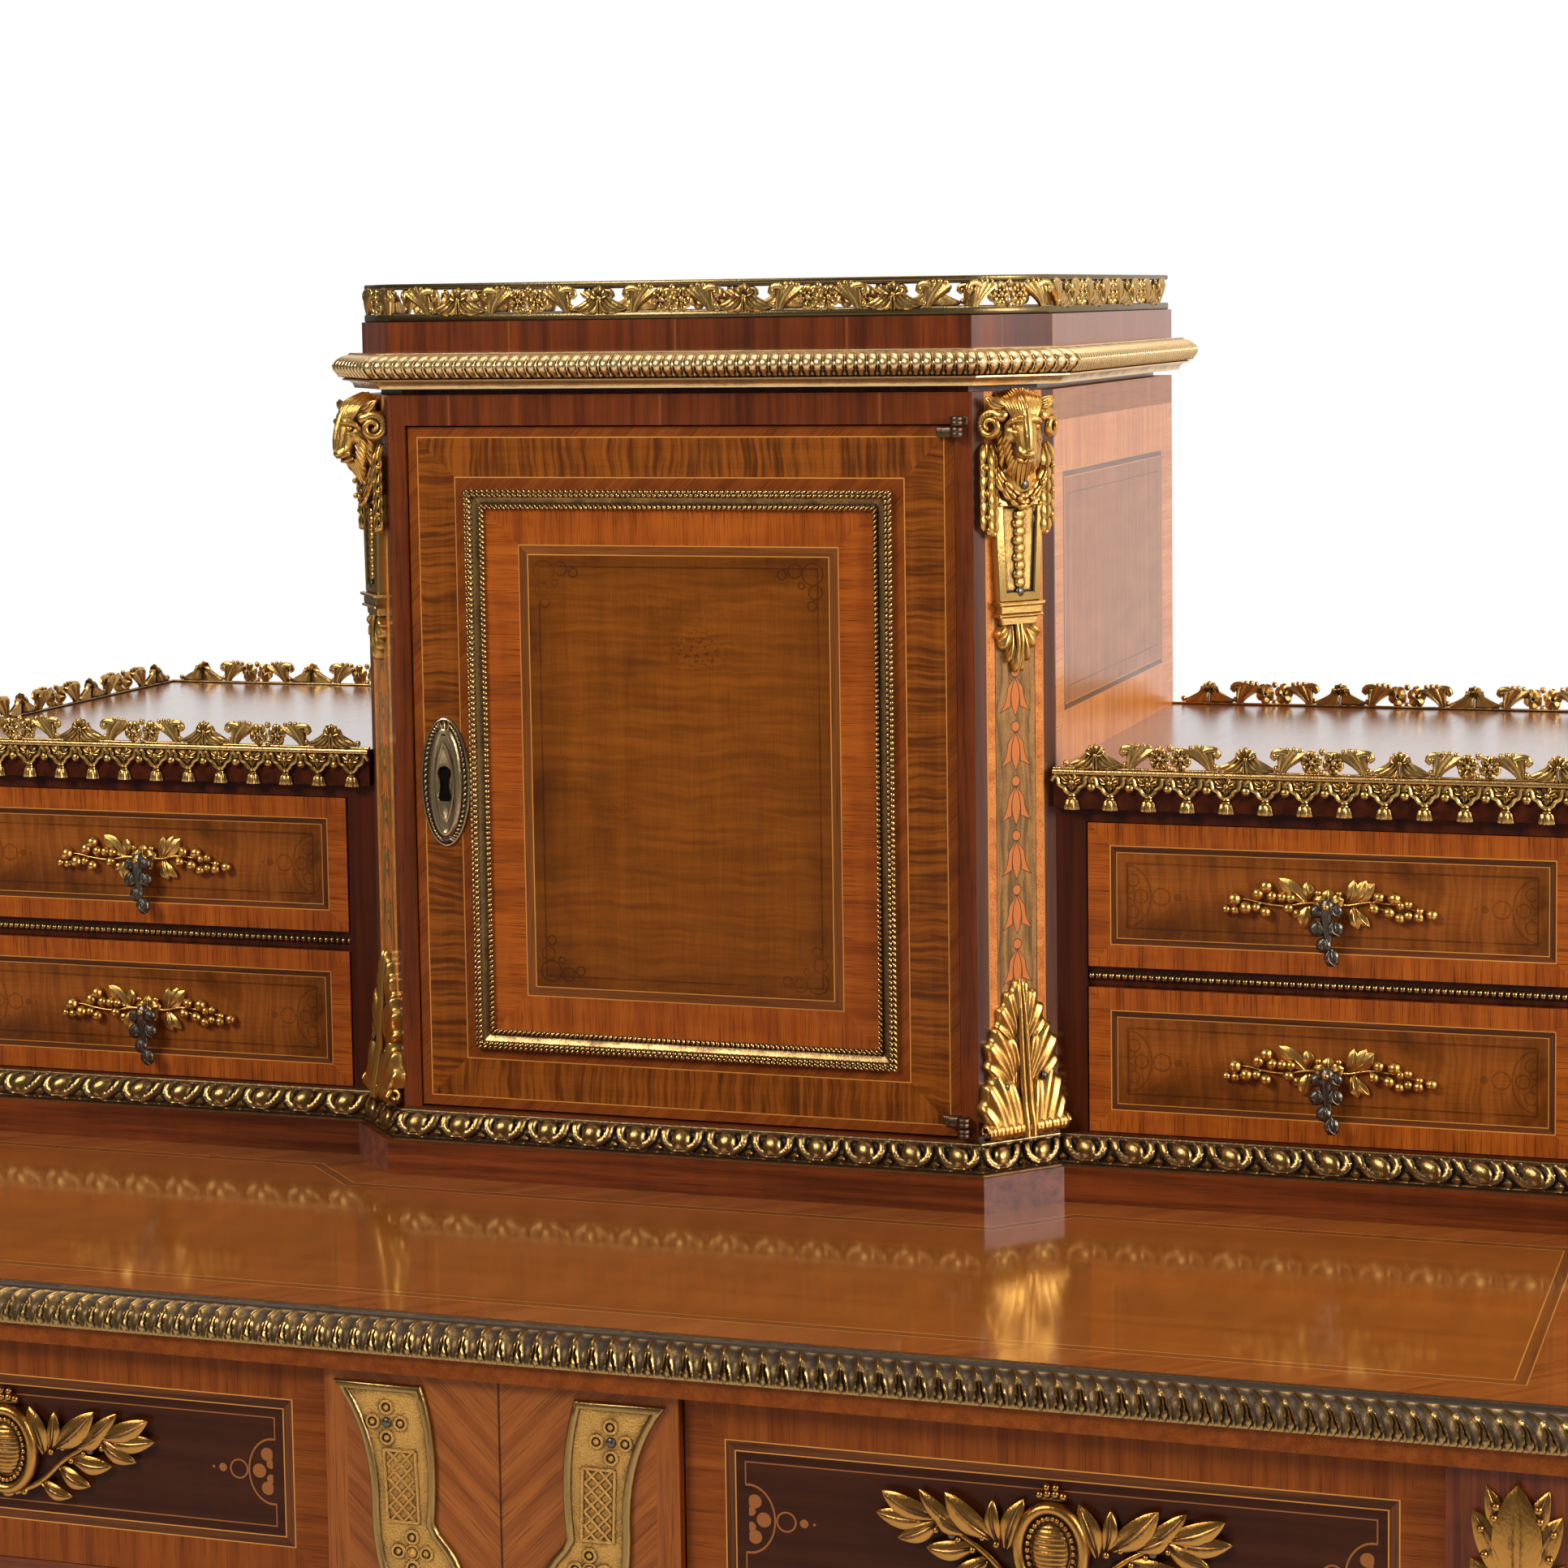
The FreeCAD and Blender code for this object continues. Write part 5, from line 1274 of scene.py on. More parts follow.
def ramTerm(bm):    # garlands, swag, beads and drop leaf below the head
    for index in range(9):
        odd = index % 2
        oval(bm, 0.5 - odd, -60.5 - 4.3 * index, 4, 3.8 - 0.06 * index, 2.9, 1.6 + 0.3 * odd, sides=12)
    for side in (-1, 1):
        lobe(bm, side, term["dropRoot"], term["dropEdge"], flutes=4, out=2, rise=2.4, cut=0.14)
        middle = side * term["garland"]
        for row in range(6):    # leaves of the hanging garland, lapped like tiles
            for drift, above in ((-3.4, 0), (3.4, 0), (0, 1)):
                top = -24 - 6.5 * row - 3 * above
                leaf(bm, (middle + drift * 0.7, top), (middle + 1.5 * drift, top - 11.6), 7, 2, out=1.2 + 1.8 * above,
                     rise=1.8, tipOut=2.2, steps=8, back=0.2, blunt=1.05)
        for berry in flip(side, term["berries"]):
            ball(bm, *berry)
        oval(bm, side * 16.3, -68, 3.4, 3.6, 3.6, 2.8, sides=12)
        ball(bm, side * 16.3, -69.6, 5.2, 1.6)
        for turn in range(4):    # swag across the chest
            (x, z), (tipX, tipZ) = [(side * 15.2 * (1 - t), -38 - 15.5 * math.sin(t * math.pi / 2))
                                    for t in (turn / 4, min((turn + 1.8) / 4, 1.1))]
            for drift in (-1.9, 1.9):
                leaf(bm, (x, z + drift), (tipX, tipZ + drift * 0.6), 5.6, 2.4, out=5.4 + 0.7 * turn, rise=1.4,
                     tipOut=0.8, sway=-side * 0.8, steps=7, back=0.3, blunt=1.1)
        for berry in flip(side, term["swagBerries"]):
            ball(bm, *berry)
    oval(bm, 0, -55.6, 8, 4.4, 2.2, 2.4, sides=12)
    oval(bm, 0, -42, 3.2, 12, 12, 6.2)
    for side in (-1, 1):
        stem(bm, flip(side, term["dropRib"]), sides=7)


def buildRams():
    place = postFrame(millimetres("ram_mounts")[1].z)
    turn = Matrix.Rotation(math.radians(-ram["turn"]), 4, "Z")    # the heads look towards the front
    look = Matrix.Translation((0, 0, ram["raise"])) @ turn
    stamped("ram_head_terms", "carcass", "gilt bronze", [(mould(ramHead), place @ look), (mould(ramTerm), place)],
            "ram_mounts", mirrored=True)
    stamped("ram_term_blocks", "carcass", "gallery gilt", [(mould(ramBlock), place)], mirrored=True, crease=20)
    screws("ram_mount_screws", "carcass", ram["screws"], ram["screw"], place)


acanthus = {
    "screws": [(-12.6, 27.5, 6.8), (11.6, 30.5, 6.8)], "screw": 1.9,
    "flutes": 4, "depth": 0.6,
    "tiers": [{"root": [(21, 4), (2, 4)], "out": 4, "rise": 1.8, "tilt": 5.6,
               "edge": [(25.4, 10), (26.4, 17), (25, 24), (22.6, 30), (19.4, 35), (13.5, 33.5), (8, 30), (3.4, 25)]},
              {"root": [(10, 25), (1.6, 29)], "out": 2.8, "rise": 2.6, "tilt": 1,
               "edge": [(19, 32), (22.6, 37.5), (22.8, 44), (21.4, 51), (18.6, 57), (12.5, 56), (6.5, 52), (2.4, 46)]},
              {"root": [(5, 45), (0.4, 49)], "out": 1.8, "rise": 2.2, "tilt": 0.8,
               "edge": [(11.5, 53), (15.8, 58.5), (14.6, 65), (11.6, 71), (8.2, 76), (4, 80), (0.4, 82)]}],
    "scroll": (25.4, 5.4, 6, 1.1),
    "ribs": [(2, 0.8, 10.4, 1.9), (2, 8, 9.8, 1.9), (1.8, 20, 7.6, 1.8), (1.7, 44, 5.6, 1.6),
             (1.3, 66, 4, 1.2), (0.7, 81, 2.2, 0.6)],
}


def acanthusShape(bm):    # foot at z 0
    x, z, out, radius = acanthus["scroll"]
    for side in (-1, 1):
        for tier in acanthus["tiers"]:
            lobe(bm, side, flutes=acanthus["flutes"], depth=acanthus["depth"], **tier)
        reaches = [4 - 0.45 * step for step in range(8)]
        stem(bm, [(side * x, z + reach * math.sin(step * 0.9), out + reach * math.cos(step * 0.9), radius)
                  for step, reach in enumerate(reaches)], sides=8)
        stem(bm, flip(side, acanthus["ribs"]), steps=4, sides=8)
    leaf(bm, (0, 0.5), (0, 82), 9, 3, out=2, rise=1)

    def foot(u, v):    # the flutes run on over the rolled foot
        turn = math.radians(130 - 260 * v)
        reach = 4.5 - 0.35 * math.cos(20 * math.pi * u) * math.sin(math.pi * v)
        return Vector((50 * (u - 0.5), -6.6 + abs(u - 0.5) - reach * math.cos(turn),
                       5 + reach * math.sin(turn)))

    patch(bm, 80, 14, foot)


def buildAcanthus():
    place = postFrame(millimetres("acanthus_mounts")[0].z)
    stamped("acanthus_feet", "carcass", "gilt bronze", [(mould(acanthusShape), place)], "acanthus_mounts",
            mirrored=True)
    screws("acanthus_screws", "carcass", acanthus["screws"], acanthus["screw"], place)


# Leaves are root, tip, width and layer; the left half is drawn and turned over
laurel = {
    "leaves": [(-20.5, -1, -12.5, 22, 9, 1), (-24, 1, -26.5, 20.5, 6.5, 1), (-27, 3, -48, 22, 11, 2),
               (-37, 4, -54, 13, 8, 1), (-52, 10, -77, 20, 9.5, 2), (-53, 9, -80, 10, 9, 1),
               (-51, 8, -70, -1, 8, 1), (-35, -2, -57, -4, 8.5, 1), (-29, -7, -45, -15, 8, 1),
               (-19, -15, -35, -21, 7, 1), (-41, 6, -60, 22, 8, 1)],
    "swell": 1.06, "thick": 2.4,
    "berries": [(-52, 4.5, 3.6, 1.5), (-35.5, -3, 3.6, 1.6), (-24.6, 0.5, 3.6, 1.7), (-42, 1, 3.6, 1.4),
                (-60, 8, 3.6, 1.4), (-31, 3, 3.6, 1.5)],
    "branch": [(4, -21.5, 1.6, 1.8), (18, -15, 2.2, 1.7), (30, -4, 2.4, 1.5), (42, 3.5, 2.4, 1.3),
               (55, 9, 2.2, 1)],
    "crown": [(-5.2, 24.6, 2.6, 1.9), (-1.7, 25.2, 2.6, 1.9), (1.8, 25.2, 2.6, 1.9), (5.3, 24.6, 2.6, 1.9),
              (-2, 28.2, 2.6, 1.7), (2, 28.2, 2.6, 1.7)],
    "beads": 30, "beadRing": (10.4, 15), "medal": (12.8, 17.4), "medalSteps": [(0, 0), (0, 3.8), (0.6, 4.2)],
    "stone": (8.8, 13), "line": 2.2, "middle": 22, "screws": (-45, 45), "screw": 2,
}
spray = {
    "leaves": [(10.5, -0.8, 12.8, 11.7, 4.6), (11.3, -0.8, 22.9, 10.5, 5.6), (11, 0, 19, 11.9, 4.6),
               (12, -2, 14.8, -13.4, 4.4), (12.8, -2.3, 20.6, -11.7, 4), (-11.7, -0.8, -24.9, 11.2, 6.2),
               (-10.5, 0.8, -10.9, 9.9, 4.6), (-10, -2.3, -13.2, -13.6, 5.2), (-13, -5, -18.4, -8.6, 3)],
    "berries": [(25.3, 3.5, 2.3), (33, 3.1, 2.7), (36.1, -0.2, 1.8), (40, 0.5, 1.8), (22.8, -2.3, 2.3),
                (30.3, -4, 2.5), (35.6, -6.6, 2.2), (40, -5.1, 1.9), (45.5, -2.7, 1.7),
                (45.2, -5.8, 2.3), (51.6, -4.3, 2.4), (-31.5, 7, 2.7), (-35.5, 3.3, 2.5), (-28.5, 2.1, 2.2),
                (-23.5, 1.9, 2.1), (-19, 1.7, 2), (-47.6, 0, 2.9), (-51.7, -5.3, 1.8), (-47.2, -5.6, 2),
                (-41.8, -4.3, 2.7), (-36.5, -3.9, 1.9), (-31.7, -6.2, 2.4), (-20.2, -3.7, 2.2), (-5.2, 4.7, 1.3),
                (5.3, 4.7, 1.3)],
    "twigs": [[(5, -1, 1.2, 1.1), (10.5, -1.2, 1.6, 1), (20.2, 0.8, 2, 0.8), (31.9, 0, 2.2, 0.7),
               (42.7, -2.3, 2.2, 0.6), (51, -4.3, 2.2, 0.5)],
              [(-5, -1, 1.2, 1.1), (-11.3, -0.8, 1.6, 1), (-22.5, -2.7, 2, 0.8), (-33.4, -1.6, 2.2, 0.7),
               (-41.2, 0, 2.2, 0.6), (-47, 0, 2.2, 0.5)],
              [(-11.5, -0.5, 1.6, 0.8), (-20, 1, 2, 0.7), (-30, 3, 2.2, 0.6), (-35.5, 3.3, 2.2, 0.5)],
              [(20.2, 0.8, 2, 0.7), (27, -2.6, 2.2, 0.6), (35, -6, 2.2, 0.5)],
              [(-33.4, -1.6, 2.2, 0.7), (-42, -4.4, 2.2, 0.6), (-51, -5.4, 2, 0.5)]],
    "leafSwell": 1.3, "berrySwell": 1.28, "twigSwell": 0.75, "flower": -1, "rise": 1,
    "pin": [(1.4, 0), (1.4, 12.2), (1.7, 12.3), (1.6, 12.8), (0.9, 13.2), (0.05, 13.3)],
}
drop = {
    "stalk": [(0, 3.4, 0, 2.2), (0.2, 0, 0.2, 4), (-0.3, -5, 0.2, 3.2), (0.2, -11, 0.3, 2.6), (0.8, -17, 0.2, 2.2),
              (0.4, -23, 0, 1.6)],
    "buds": [(-5, -2.6, 3.4, 3.4, -0.4), (5, -2, 3.4, 3.2, 0.4), (-4.6, -11.4, 4.2, 4.2, -0.3),
             (4.6, -11, 4.2, 4.2, 0.3), (-1.2, -19.6, 4, 4.2, -0.2), (2.8, -25.8, 4, 4.7, 0.25)],
    "pin": 4.2,
}


def laurelShape(bm):    # centre of the medal at the origin
    hoop(bm, 0, 0, 3.2, 14.7, 2.9, sides=48, tube=12, tall=1.32, pinch=1.3)
    wide, tall = laurel["medal"]
    plate(bm, [(wide * math.cos(turn), tall * math.sin(turn)) for turn in circle(36)], laurel["medalSteps"])
    wide, tall = laurel["beadRing"]
    for turn in circle(laurel["beads"]):
        ball(bm, wide * math.cos(turn), tall * math.sin(turn), 4.9, 1.3)
    stoneWide, stoneTall = laurel["stone"]

    def cabochon(u, v):    # a domed stone with fine level lines
        angle = 2 * math.pi * u
        x, z = stoneWide * v * math.cos(angle), stoneTall * v * math.sin(angle)
        return Vector((x, -3.4 - 4 * dome(v) - 0.18 * math.cos(2 * math.pi * z / laurel["line"]), z))

    patch(bm, 96, 24, cabochon)
    for berry in laurel["crown"]:
        ball(bm, *berry, sides=10)
    oval(bm, 0, 23, 1.8, 6.5, 1.6, 1.6)
    for side in (-1, 1):
        stem(bm, flip(side, laurel["branch"]), steps=4, sides=8)
        for x, z, tipX, tipZ, wide, layer in laurel["leaves"]:
            leaf(bm, (-side * x, z), (-side * tipX, tipZ), wide * laurel["swell"], laurel["thick"],
                 out=0.8 + 0.7 * layer, rise=2.4, tipOut=1.4, sway=side * 1.2, steps=12, back=0.3, blunt=1.05)
        for berry in flip(-side, laurel["berries"]):
            ball(bm, *berry)
        ball(bm, side * 9, -20.5, 2.6, 2)
    oval(bm, 0, -21.8, 2.4, 3.6, 2.4, 2.2)


def sprayShape(bm):
    for twig in spray["twigs"]:
        stem(bm, [(x, z, out, radius * spray["twigSwell"]) for x, z, out, radius in twig])
    for x, z, tipX, tipZ, wide in spray["leaves"]:
        leaf(bm, (x, z), (tipX, tipZ), wide * spray["leafSwell"], 1.3, out=0.8, rise=1.4, tipOut=1, sway=0.6, steps=9,
             back=0.2, blunt=1.25)
    for x, z, radius in spray["berries"]:
        ball(bm, x, z, 2.9, radius * spray["berrySwell"], sides=12)
    middle = spray["flower"]
    for petal in range(5):
        angle = math.radians(90 + 72 * petal)
        root = (math.cos(angle), middle + math.sin(angle))
        tip = (8.2 * math.cos(angle), middle + 8 * math.sin(angle))
        leaf(bm, root, tip, 7.2, 1.8, out=1.2, rise=1.2, tipOut=0.6, steps=7, back=0.3, blunt=0.95)
    ball(bm, 0, middle, 2.6, 2.4, sides=10, squash=0.8)


def dropShape(bm):    # pin at the origin, seen from the front
    stem(bm, drop["stalk"], steps=4, sides=10, flat=0.65)
    for drift in (-1.2, 0, 1.2):
        stem(bm, [(drift, 2.4, 1.5, 0.5), (drift - 0.2, -4, 1.7, 0.6), (drift * 0.8, -11, 1.5, 0.5),
                  (drift * 0.5 + 0.6, -17, 1.2, 0.4)])
    for x, z, wide, tall, lean in drop["buds"]:
        oval(bm, x, z, 0.2, wide, tall, 2.3, sides=12)
        for side in (-1, 1):
            tip = (x + side * wide * 0.55 + lean, z - tall * 0.9)
            leaf(bm, (x - lean * 3, z + tall * 0.95), tip, wide * 1.3, 1.3, out=0.9, rise=1.1, sway=side * 0.5 * wide)


# Outline, marks and trellis in shares of the strap's reach and height
strap = {
    "turns": [((0.46, 1), (0.39, 0.72), (0.4, 0.4)), ((0.37, 0.36), (0.23, 0.18), (0.32, 0.04)),
              ((0.54, 0), (0.63, 0.01), (0.68, 0.06)), ((0.68, 0.07), (0.76, 0.25), (0.78, 0.5)),
              ((0.78, 0.51), (0.84, 0.78), (1, 1))],
    "border": [(0, 0), (0, 2), (0.9, 3.1), (2.8, 3.2), (3.6, 2.6), (4.2, 1)],
    "ground": [(3.4, 0.2), (3.4, 1.5), (4.6, 1.8)], "marks": [(0.675, 0.83), (0.535, 0.27)],
    "trellis": [(0.71, 0.4, 0.6, 0.585, 6.6), (0.175, 0.065, 0.5, 0.515, 7.4)], "mesh": 6.2, "margin": 1.2,
    "petals": [(7, 0), (-7, 0), (0, 7.2), (0, -7.2)], "screw": 2.3,
}


def quatrefoil(bm, x, z, out):
    for dx, dz in strap["petals"]:
        hoop(bm, x + dx, z + dz, out + 0.2, 2.9, 0.85)
        ball(bm, x + dx, z + dz, out, 1.6, sides=10)


def buildStraps():
    low, high = millimetres("strap_mounts")
    tall, reach = high.z - low.z, high.x

    def spot(across, up):
        return reach * across, low.z + tall * up

    outline = [spot(*share) for turn in strap["turns"] for share in bend(*turn, 8)]
    border, ground, heads = bmesh.new(), bmesh.new(), bmesh.new()
    plate(border, outline, strap["border"])
    plate(ground, outline, strap["ground"])
    upper, lower = [spot(*mark) for mark in strap["marks"]]
    for mark in (upper, lower):
        quatrefoil(ground, *mark, 1.8)
    ball(ground, *lower, 1.9, 2.5, sides=12)
    hoop(ground, *lower, 1.9, 3.2, 0.7, sides=18)
    screwHead(heads, *upper, 1.7, strap["screw"])
    for top, foot, topX, footX, half in strap["trellis"]:
        rows = max(2, round((top - foot) * tall / strap["mesh"]))
        wide, ends = half + strap["margin"], (spot(topX, top), spot(footX, foot))
        corners = [[(x + side * wide, z, 2, 0.8) for x, z in ends] for side in (-1, 1)]
        for bar in corners + list(zip(*corners)):
            stem(ground, bar, steps=2)
        for row in range(-1, rows):    # the trellis, lath by lath, cut off at its frame
            for way in (-1, 1):
                ends = []
                for t in (max(0, -row / 2), min(1, (rows - row) / 2)):
                    down = (row + 2 * t) / rows
                    x, z = spot(topX + (footX - topX) * down, top + (foot - top) * down)
                    ends.append((x + way * (2 * t - 1) * half, z, 1.9, 0.75))
                stem(ground, ends, steps=2, sides=5)
    for bm, name, metal, solids in ((border, "strap_borders", "aged brass", ("strap_mounts",)),
                                    (ground, "strap_panels", "matt gilt", ()),
                                    (heads, "strap_screws", "dark bronze", ())):
        bmesh.ops.translate(bm, vec=(0, high.y, 0), verts=bm.verts)
        mirrorOver(bm)
        piece(bm, name, "carcass", metal, *solids)


def cutAway(bm, cutter):    # what the cutter fills is taken out of the shape
    pair = []
    for shape in (bm, cutter):
        sealed(shape, 0.001)
        mesh = bpy.data.meshes.new("cut")
        shape.to_mesh(mesh)
        pair.append(linked("cut", mesh))
    cut = pair[0].modifiers.new("cut", "BOOLEAN")
    cut.operation = "DIFFERENCE"
    cut.solver = "EXACT"
    cut.object = pair[1]
    bm.clear()
    bm.from_mesh(evaluated(pair[0]))
    cutter.free()
    for part in pair:
        bpy.data.objects.remove(part)


keyPlate = {
    "steps": [(0, 0), (0, 0.9), (0.5, 1.3), (1.2, 1.3), (1.5, 0.6), (4.2, 0.6), (4.6, 1.1), (5.4, 2.2),
              (6.6, 2.8), (8, 2.6), (8.8, 1.8), (9.6, 1.7)],
    "slot": [(-2.6, -2), (-3.9, -8.6), (-2.4, -10.2), (2.4, -10.2), (3.9, -8.6), (2.6, -2)],
    "eye": (4, 4.8), "lens": (5.6, 24, 22, 4),
    "lensSteps": [(0, 1.2), (0, 2.2), (0.5, 2.5), (0.9, 2.4), (1.3, 2)],
    "rope": 62, "ropeInset": 2.85, "ropeEnd": 0.985, "bead": (0.8, 0.9, 1.6, 1), "slant": 0.7,
    "shadowPlate": [(0, 0.02), (0, 0.2), (0.5, 0.3)], "screw": 2.7,
}


def buildEscutcheon():
    low, high = millimetres("escutcheon")
    place = ((low.x + high.x) / 2, high.y, (low.z + high.z) / 2)
    wide, tall = (high.x - low.x) / 2, (high.z - low.z) / 2
    bm, lens = bmesh.new(), bmesh.new()
    skin(bm, [[Vector(((wide - inset) * math.cos(turn), -out, (tall - inset) * math.sin(turn)))
               for turn in circle(56)] for inset, out in keyPlate["steps"]])
    radius, rise = keyPlate["eye"]
    eye = [math.radians(angle) for angle in range(-40, 221, 20)]
    keyhole = [(radius * math.cos(angle), rise + radius * math.sin(angle)) for angle in eye] + keyPlate["slot"]
    half, long, end, step = keyPlate["lens"]
    plate(lens, [(side * half * (1 - (up / long) ** 2), up) for side in (1, -1)
                 for up in range(-end * side, end * side, step * side)], keyPlate["lensSteps"])
    for shape in (bm, lens):
        cutter = bmesh.new()
        plate(cutter, keyhole, [(0, -2), (0, 6)])
        cutAway(shape, cutter)
    stamp(bm, asMesh(lens, "lens"), Matrix.Identity(4))
    inset = keyPlate["ropeInset"]
    for angle in circle(keyPlate["rope"]):    # rope of slanting beads, open at its ends
        spot = Matrix.Translation(((wide - inset) * math.cos(angle), -1, (tall - inset) * math.sin(angle)))
        lean = Matrix.Rotation(-angle + keyPlate["slant"], 4, "Y") @ Matrix.Diagonal(keyPlate["bead"])
        if abs(math.sin(angle)) < keyPlate["ropeEnd"]:
            bmesh.ops.create_uvsphere(bm, u_segments=8, v_segments=6, radius=1, matrix=spot @ lean)
    for drift in (-2, 0, 2):
        leaf(bm, (drift * 0.4, tall - 9.5), (drift * 1.5, tall - 1), 2.8, 1.6, out=1, rise=0.4)
    bmesh.ops.translate(bm, vec=place, verts=bm.verts)
    piece(bm, "key_escutcheon", "door", "rubbed brass", "escutcheon")
    # a near-black plate behind the keyhole: painted shade for the hole's dark inside
    bm = bmesh.new()
    plate(bm, offset(keyhole, 0.4, closed=True), keyPlate["shadowPlate"])
    bmesh.ops.translate(bm, vec=place, verts=bm.verts)
    piece(bm, "keyhole_shadow_plate", "door", "keyhole shadow")
    screws("escutcheon_screw", "door", [(place[0], low.z + 4.6, 0.8 - high.y)], keyPlate["screw"])


# Plates are left, right and thickness; the arm also gives where it starts and ends forwards
hinge = {"x": 152.6, "out": 38.2, "radius": 3.4, "tall": 5, "leafTall": 5.4, "plate": (151.2, 157.2, 1),
         "leaf": (140.8, 149.4, 3), "arm": (144, 152.6, 35.2, 38.4)}


def buildHinges():    # turned knuckles on the pins, each on its plate
    radius = hinge["radius"]
    for name, body, node, tall, (left, right, thick), arms in (
            ("hinge_fixed_knuckles", "carcass", "hinge_plates", hinge["tall"], hinge["plate"], []),
            ("hinge_door_knuckles", "door", "hinge_leaves", hinge["leafTall"], hinge["leaf"], [hinge["arm"]])):
        low, high = millimetres(node)
        plates = [(left, right, -high.y, thick - high.y)] + arms
        bm = bmesh.new()
        for foot in (low.z, high.z - tall):
            top = foot + tall
            turned(bm, hinge["x"], hinge["out"], [
                (0.05, foot), (radius - 0.6, foot), (radius, foot + 0.5), (radius, foot + tall * 0.4),
                (radius - 0.3, foot + tall * 0.5), (radius, foot + tall * 0.6), (radius, top - 0.5),
                (radius - 0.6, top), (0.05, top)], sides=24)
            for start, end, behind, ahead in plates:
                plate(bm, [(start, foot + 0.3), (end, foot + 0.3), (end, top - 0.3), (start, top - 0.3)],
                      [(0, behind), (0, ahead - 0.4), (0.5, ahead)])
        piece(bm, name, body, "hinge bronze", node)


legLeaf = {
    "leaves": [(0, -46, 0, -0.5, 21, 2.4), (4, -44, 18.5, -13, 13, 1.2), (7, -28, 13, -2.5, 9, 0.4),
               (4, -60, 19.5, -34, 12, 1), (2, -66, 11, -47, 9, 2), (0, -72, 0, -44, 11, 3)],
    "berries": [(8.8, -10, 4.6, 1.9), (9.6, -15, 4.6, 1.7), (2.4, -44.5, 4.6, 1.8), (13.5, -31, 4.6, 1.8),
                (7.5, -58, 4.6, 1.7), (15, -20, 4.6, 1.6)],
    "stalk": [(1.2, -74, 1.2, 1.2), (1.6, -68, 2.4, 1.6), (0.8, -60, 3, 1)],
}
legBlock = 30    # half the width of a leg's top


def legLeafShape(bm):    # a bouquet of leaves rising to z 0
    for side in (-1, 1):
        for x, z, tipX, tipZ, wide, out in legLeaf["leaves"]:
            if x or side > 0:
                sway = -side * 1.6 * (x > 0)
                leaf(bm, (side * x, z), (side * tipX, tipZ), wide, 2.2, out=out, rise=1.8, tipOut=0.8, sway=sway,
                     steps=12, back=0.2, blunt=1)
        for berry in flip(side, legLeaf["berries"]):
            ball(bm, *berry)
        stem(bm, flip(side, legLeaf["stalk"]), sides=8)


def buildFrontMounts():
    laurelMould, sprayMould, dropMould = mould(laurelShape), mould(sprayShape), mould(dropShape)
    for side in hands:
        low, high = millimetres(f"laurel_mount_{side}")
        x, y, z = (low.x + high.x) / 2, high.y, low.z + laurel["middle"]
        drawer = f"frieze_drawer_{side}"
        stamped(f"laurel_medal_{side}", drawer, "old gilt", [(laurelMould, Matrix.Translation((x, y, z)))],
                f"laurel_mount_{side}")
        screws(f"laurel_screws_{side}", drawer, [(x + away, z + 2.5, 2.6 - y) for away in laurel["screws"]],
               laurel["screw"])
        for level in levels:
            which = f"{side}_{level}"
            low, high = millimetres(f"pull_spray_{which}")
            dropLow, dropHigh = millimetres(f"pull_drop_{which}")
            x, z = (low.x + high.x) / 2, dropHigh.z - drop["pin"]
            bm = bmesh.new()
            stamp(bm, sprayMould, Matrix.Translation((x, high.y, z + spray["rise"])))
            peg(bm, x, z, -high.y, spray["pin"])
            piece(bm, f"berry_spray_{which}", f"wing_drawer_{which}", "gilt bronze", f"pull_spray_{which}",
                  crease=70)
            hung = Matrix.Translation((x, (dropLow.y + dropHigh.y) / 2, z))
            stamped(f"bud_drop_{which}", f"drop_{which}", "dark bronze", [(dropMould, hung)], f"pull_drop_{which}")
    high = millimetres("leg_leaf_mounts")[1]
    place = Matrix.Translation((millimetres("legs")[1].x - legBlock, high.y, high.z))
    stamped("leg_leaf_bouquets", "carcass", "old gilt", [(mould(legLeafShape), place)], "leg_leaf_mounts",
            mirrored=True)


# Fluted metal shoes on the feet; the profile is (beyond the leg, height)
sabot = {
    "foot": 15, "slope": 0.0151, "sole": 4, "flute": 0.9, "from": 0.36, "to": 0.74,
    "profile": [(-0.6, 71.6), (1.8, 71.9), (2.9, 71.2), (3.2, 70), (2.6, 68.9), (1.5, 68.4), (1.5, 66),
                (2.2, 65.4), (2.2, 64.2), (1.7, 63.6), (1.7, 58), (1.7, 52), (1.7, 44), (1.7, 34), (1.7, 24),
                (1.7, 17), (1.7, 13), (2.1, 12.4), (2.6, 11.2), (2.1, 10), (1.6, 9.4), (1.6, 2), (1.1, 0.4), (0.7, 0)],
    "form": {"back": [(-14.95, 0), (-14.95, 3.9), (-0.4, 3.9)], "pitch": 6.6, "per": 10, "closed": True},
}


def fluted(s, t):
    if not sabot["from"] < t < sabot["to"]:
        return 0
    ends = min(1, (t - sabot["from"]) * 16, (sabot["to"] - t) * 16)
    return -sabot["flute"] * dome(min(1, abs(s - 0.5) / 0.36)) * ends


def buildSabots():
    low, high = millimetres("legs")
    half = sabot["foot"]
    outside = [(beyond + sabot["slope"] * (up - sabot["sole"]), up) for beyond, up in sabot["profile"]]
    bm = bmesh.new()
    for x in (low.x + legBlock, high.x - legBlock):
        for y in (low.y + legBlock, high.y - legBlock):
            path = [(x - half, y - half), (x + half, y - half), (x + half, y + half), (x - half, y + half)]
            enriched(bm, path, 0, outside, relief=fluted, depth=sabot["flute"], **sabot["form"])
    piece(bm, "leg_sabots", "carcass", "gallery gilt", "leg_shoes", crease=35)


print("mounts")
buildRams()
buildSabots()
buildAcanthus()
buildStraps()
buildEscutcheon()
buildHinges()
buildFrontMounts()

# Floor, light and camera

white = (1, 1, 1)
studio = {"floor": 3.2, "floorColour": (0.86, 0.855, 0.845), "fadeFrom": 1500, "ambient": 0.24, "front": 0.1}


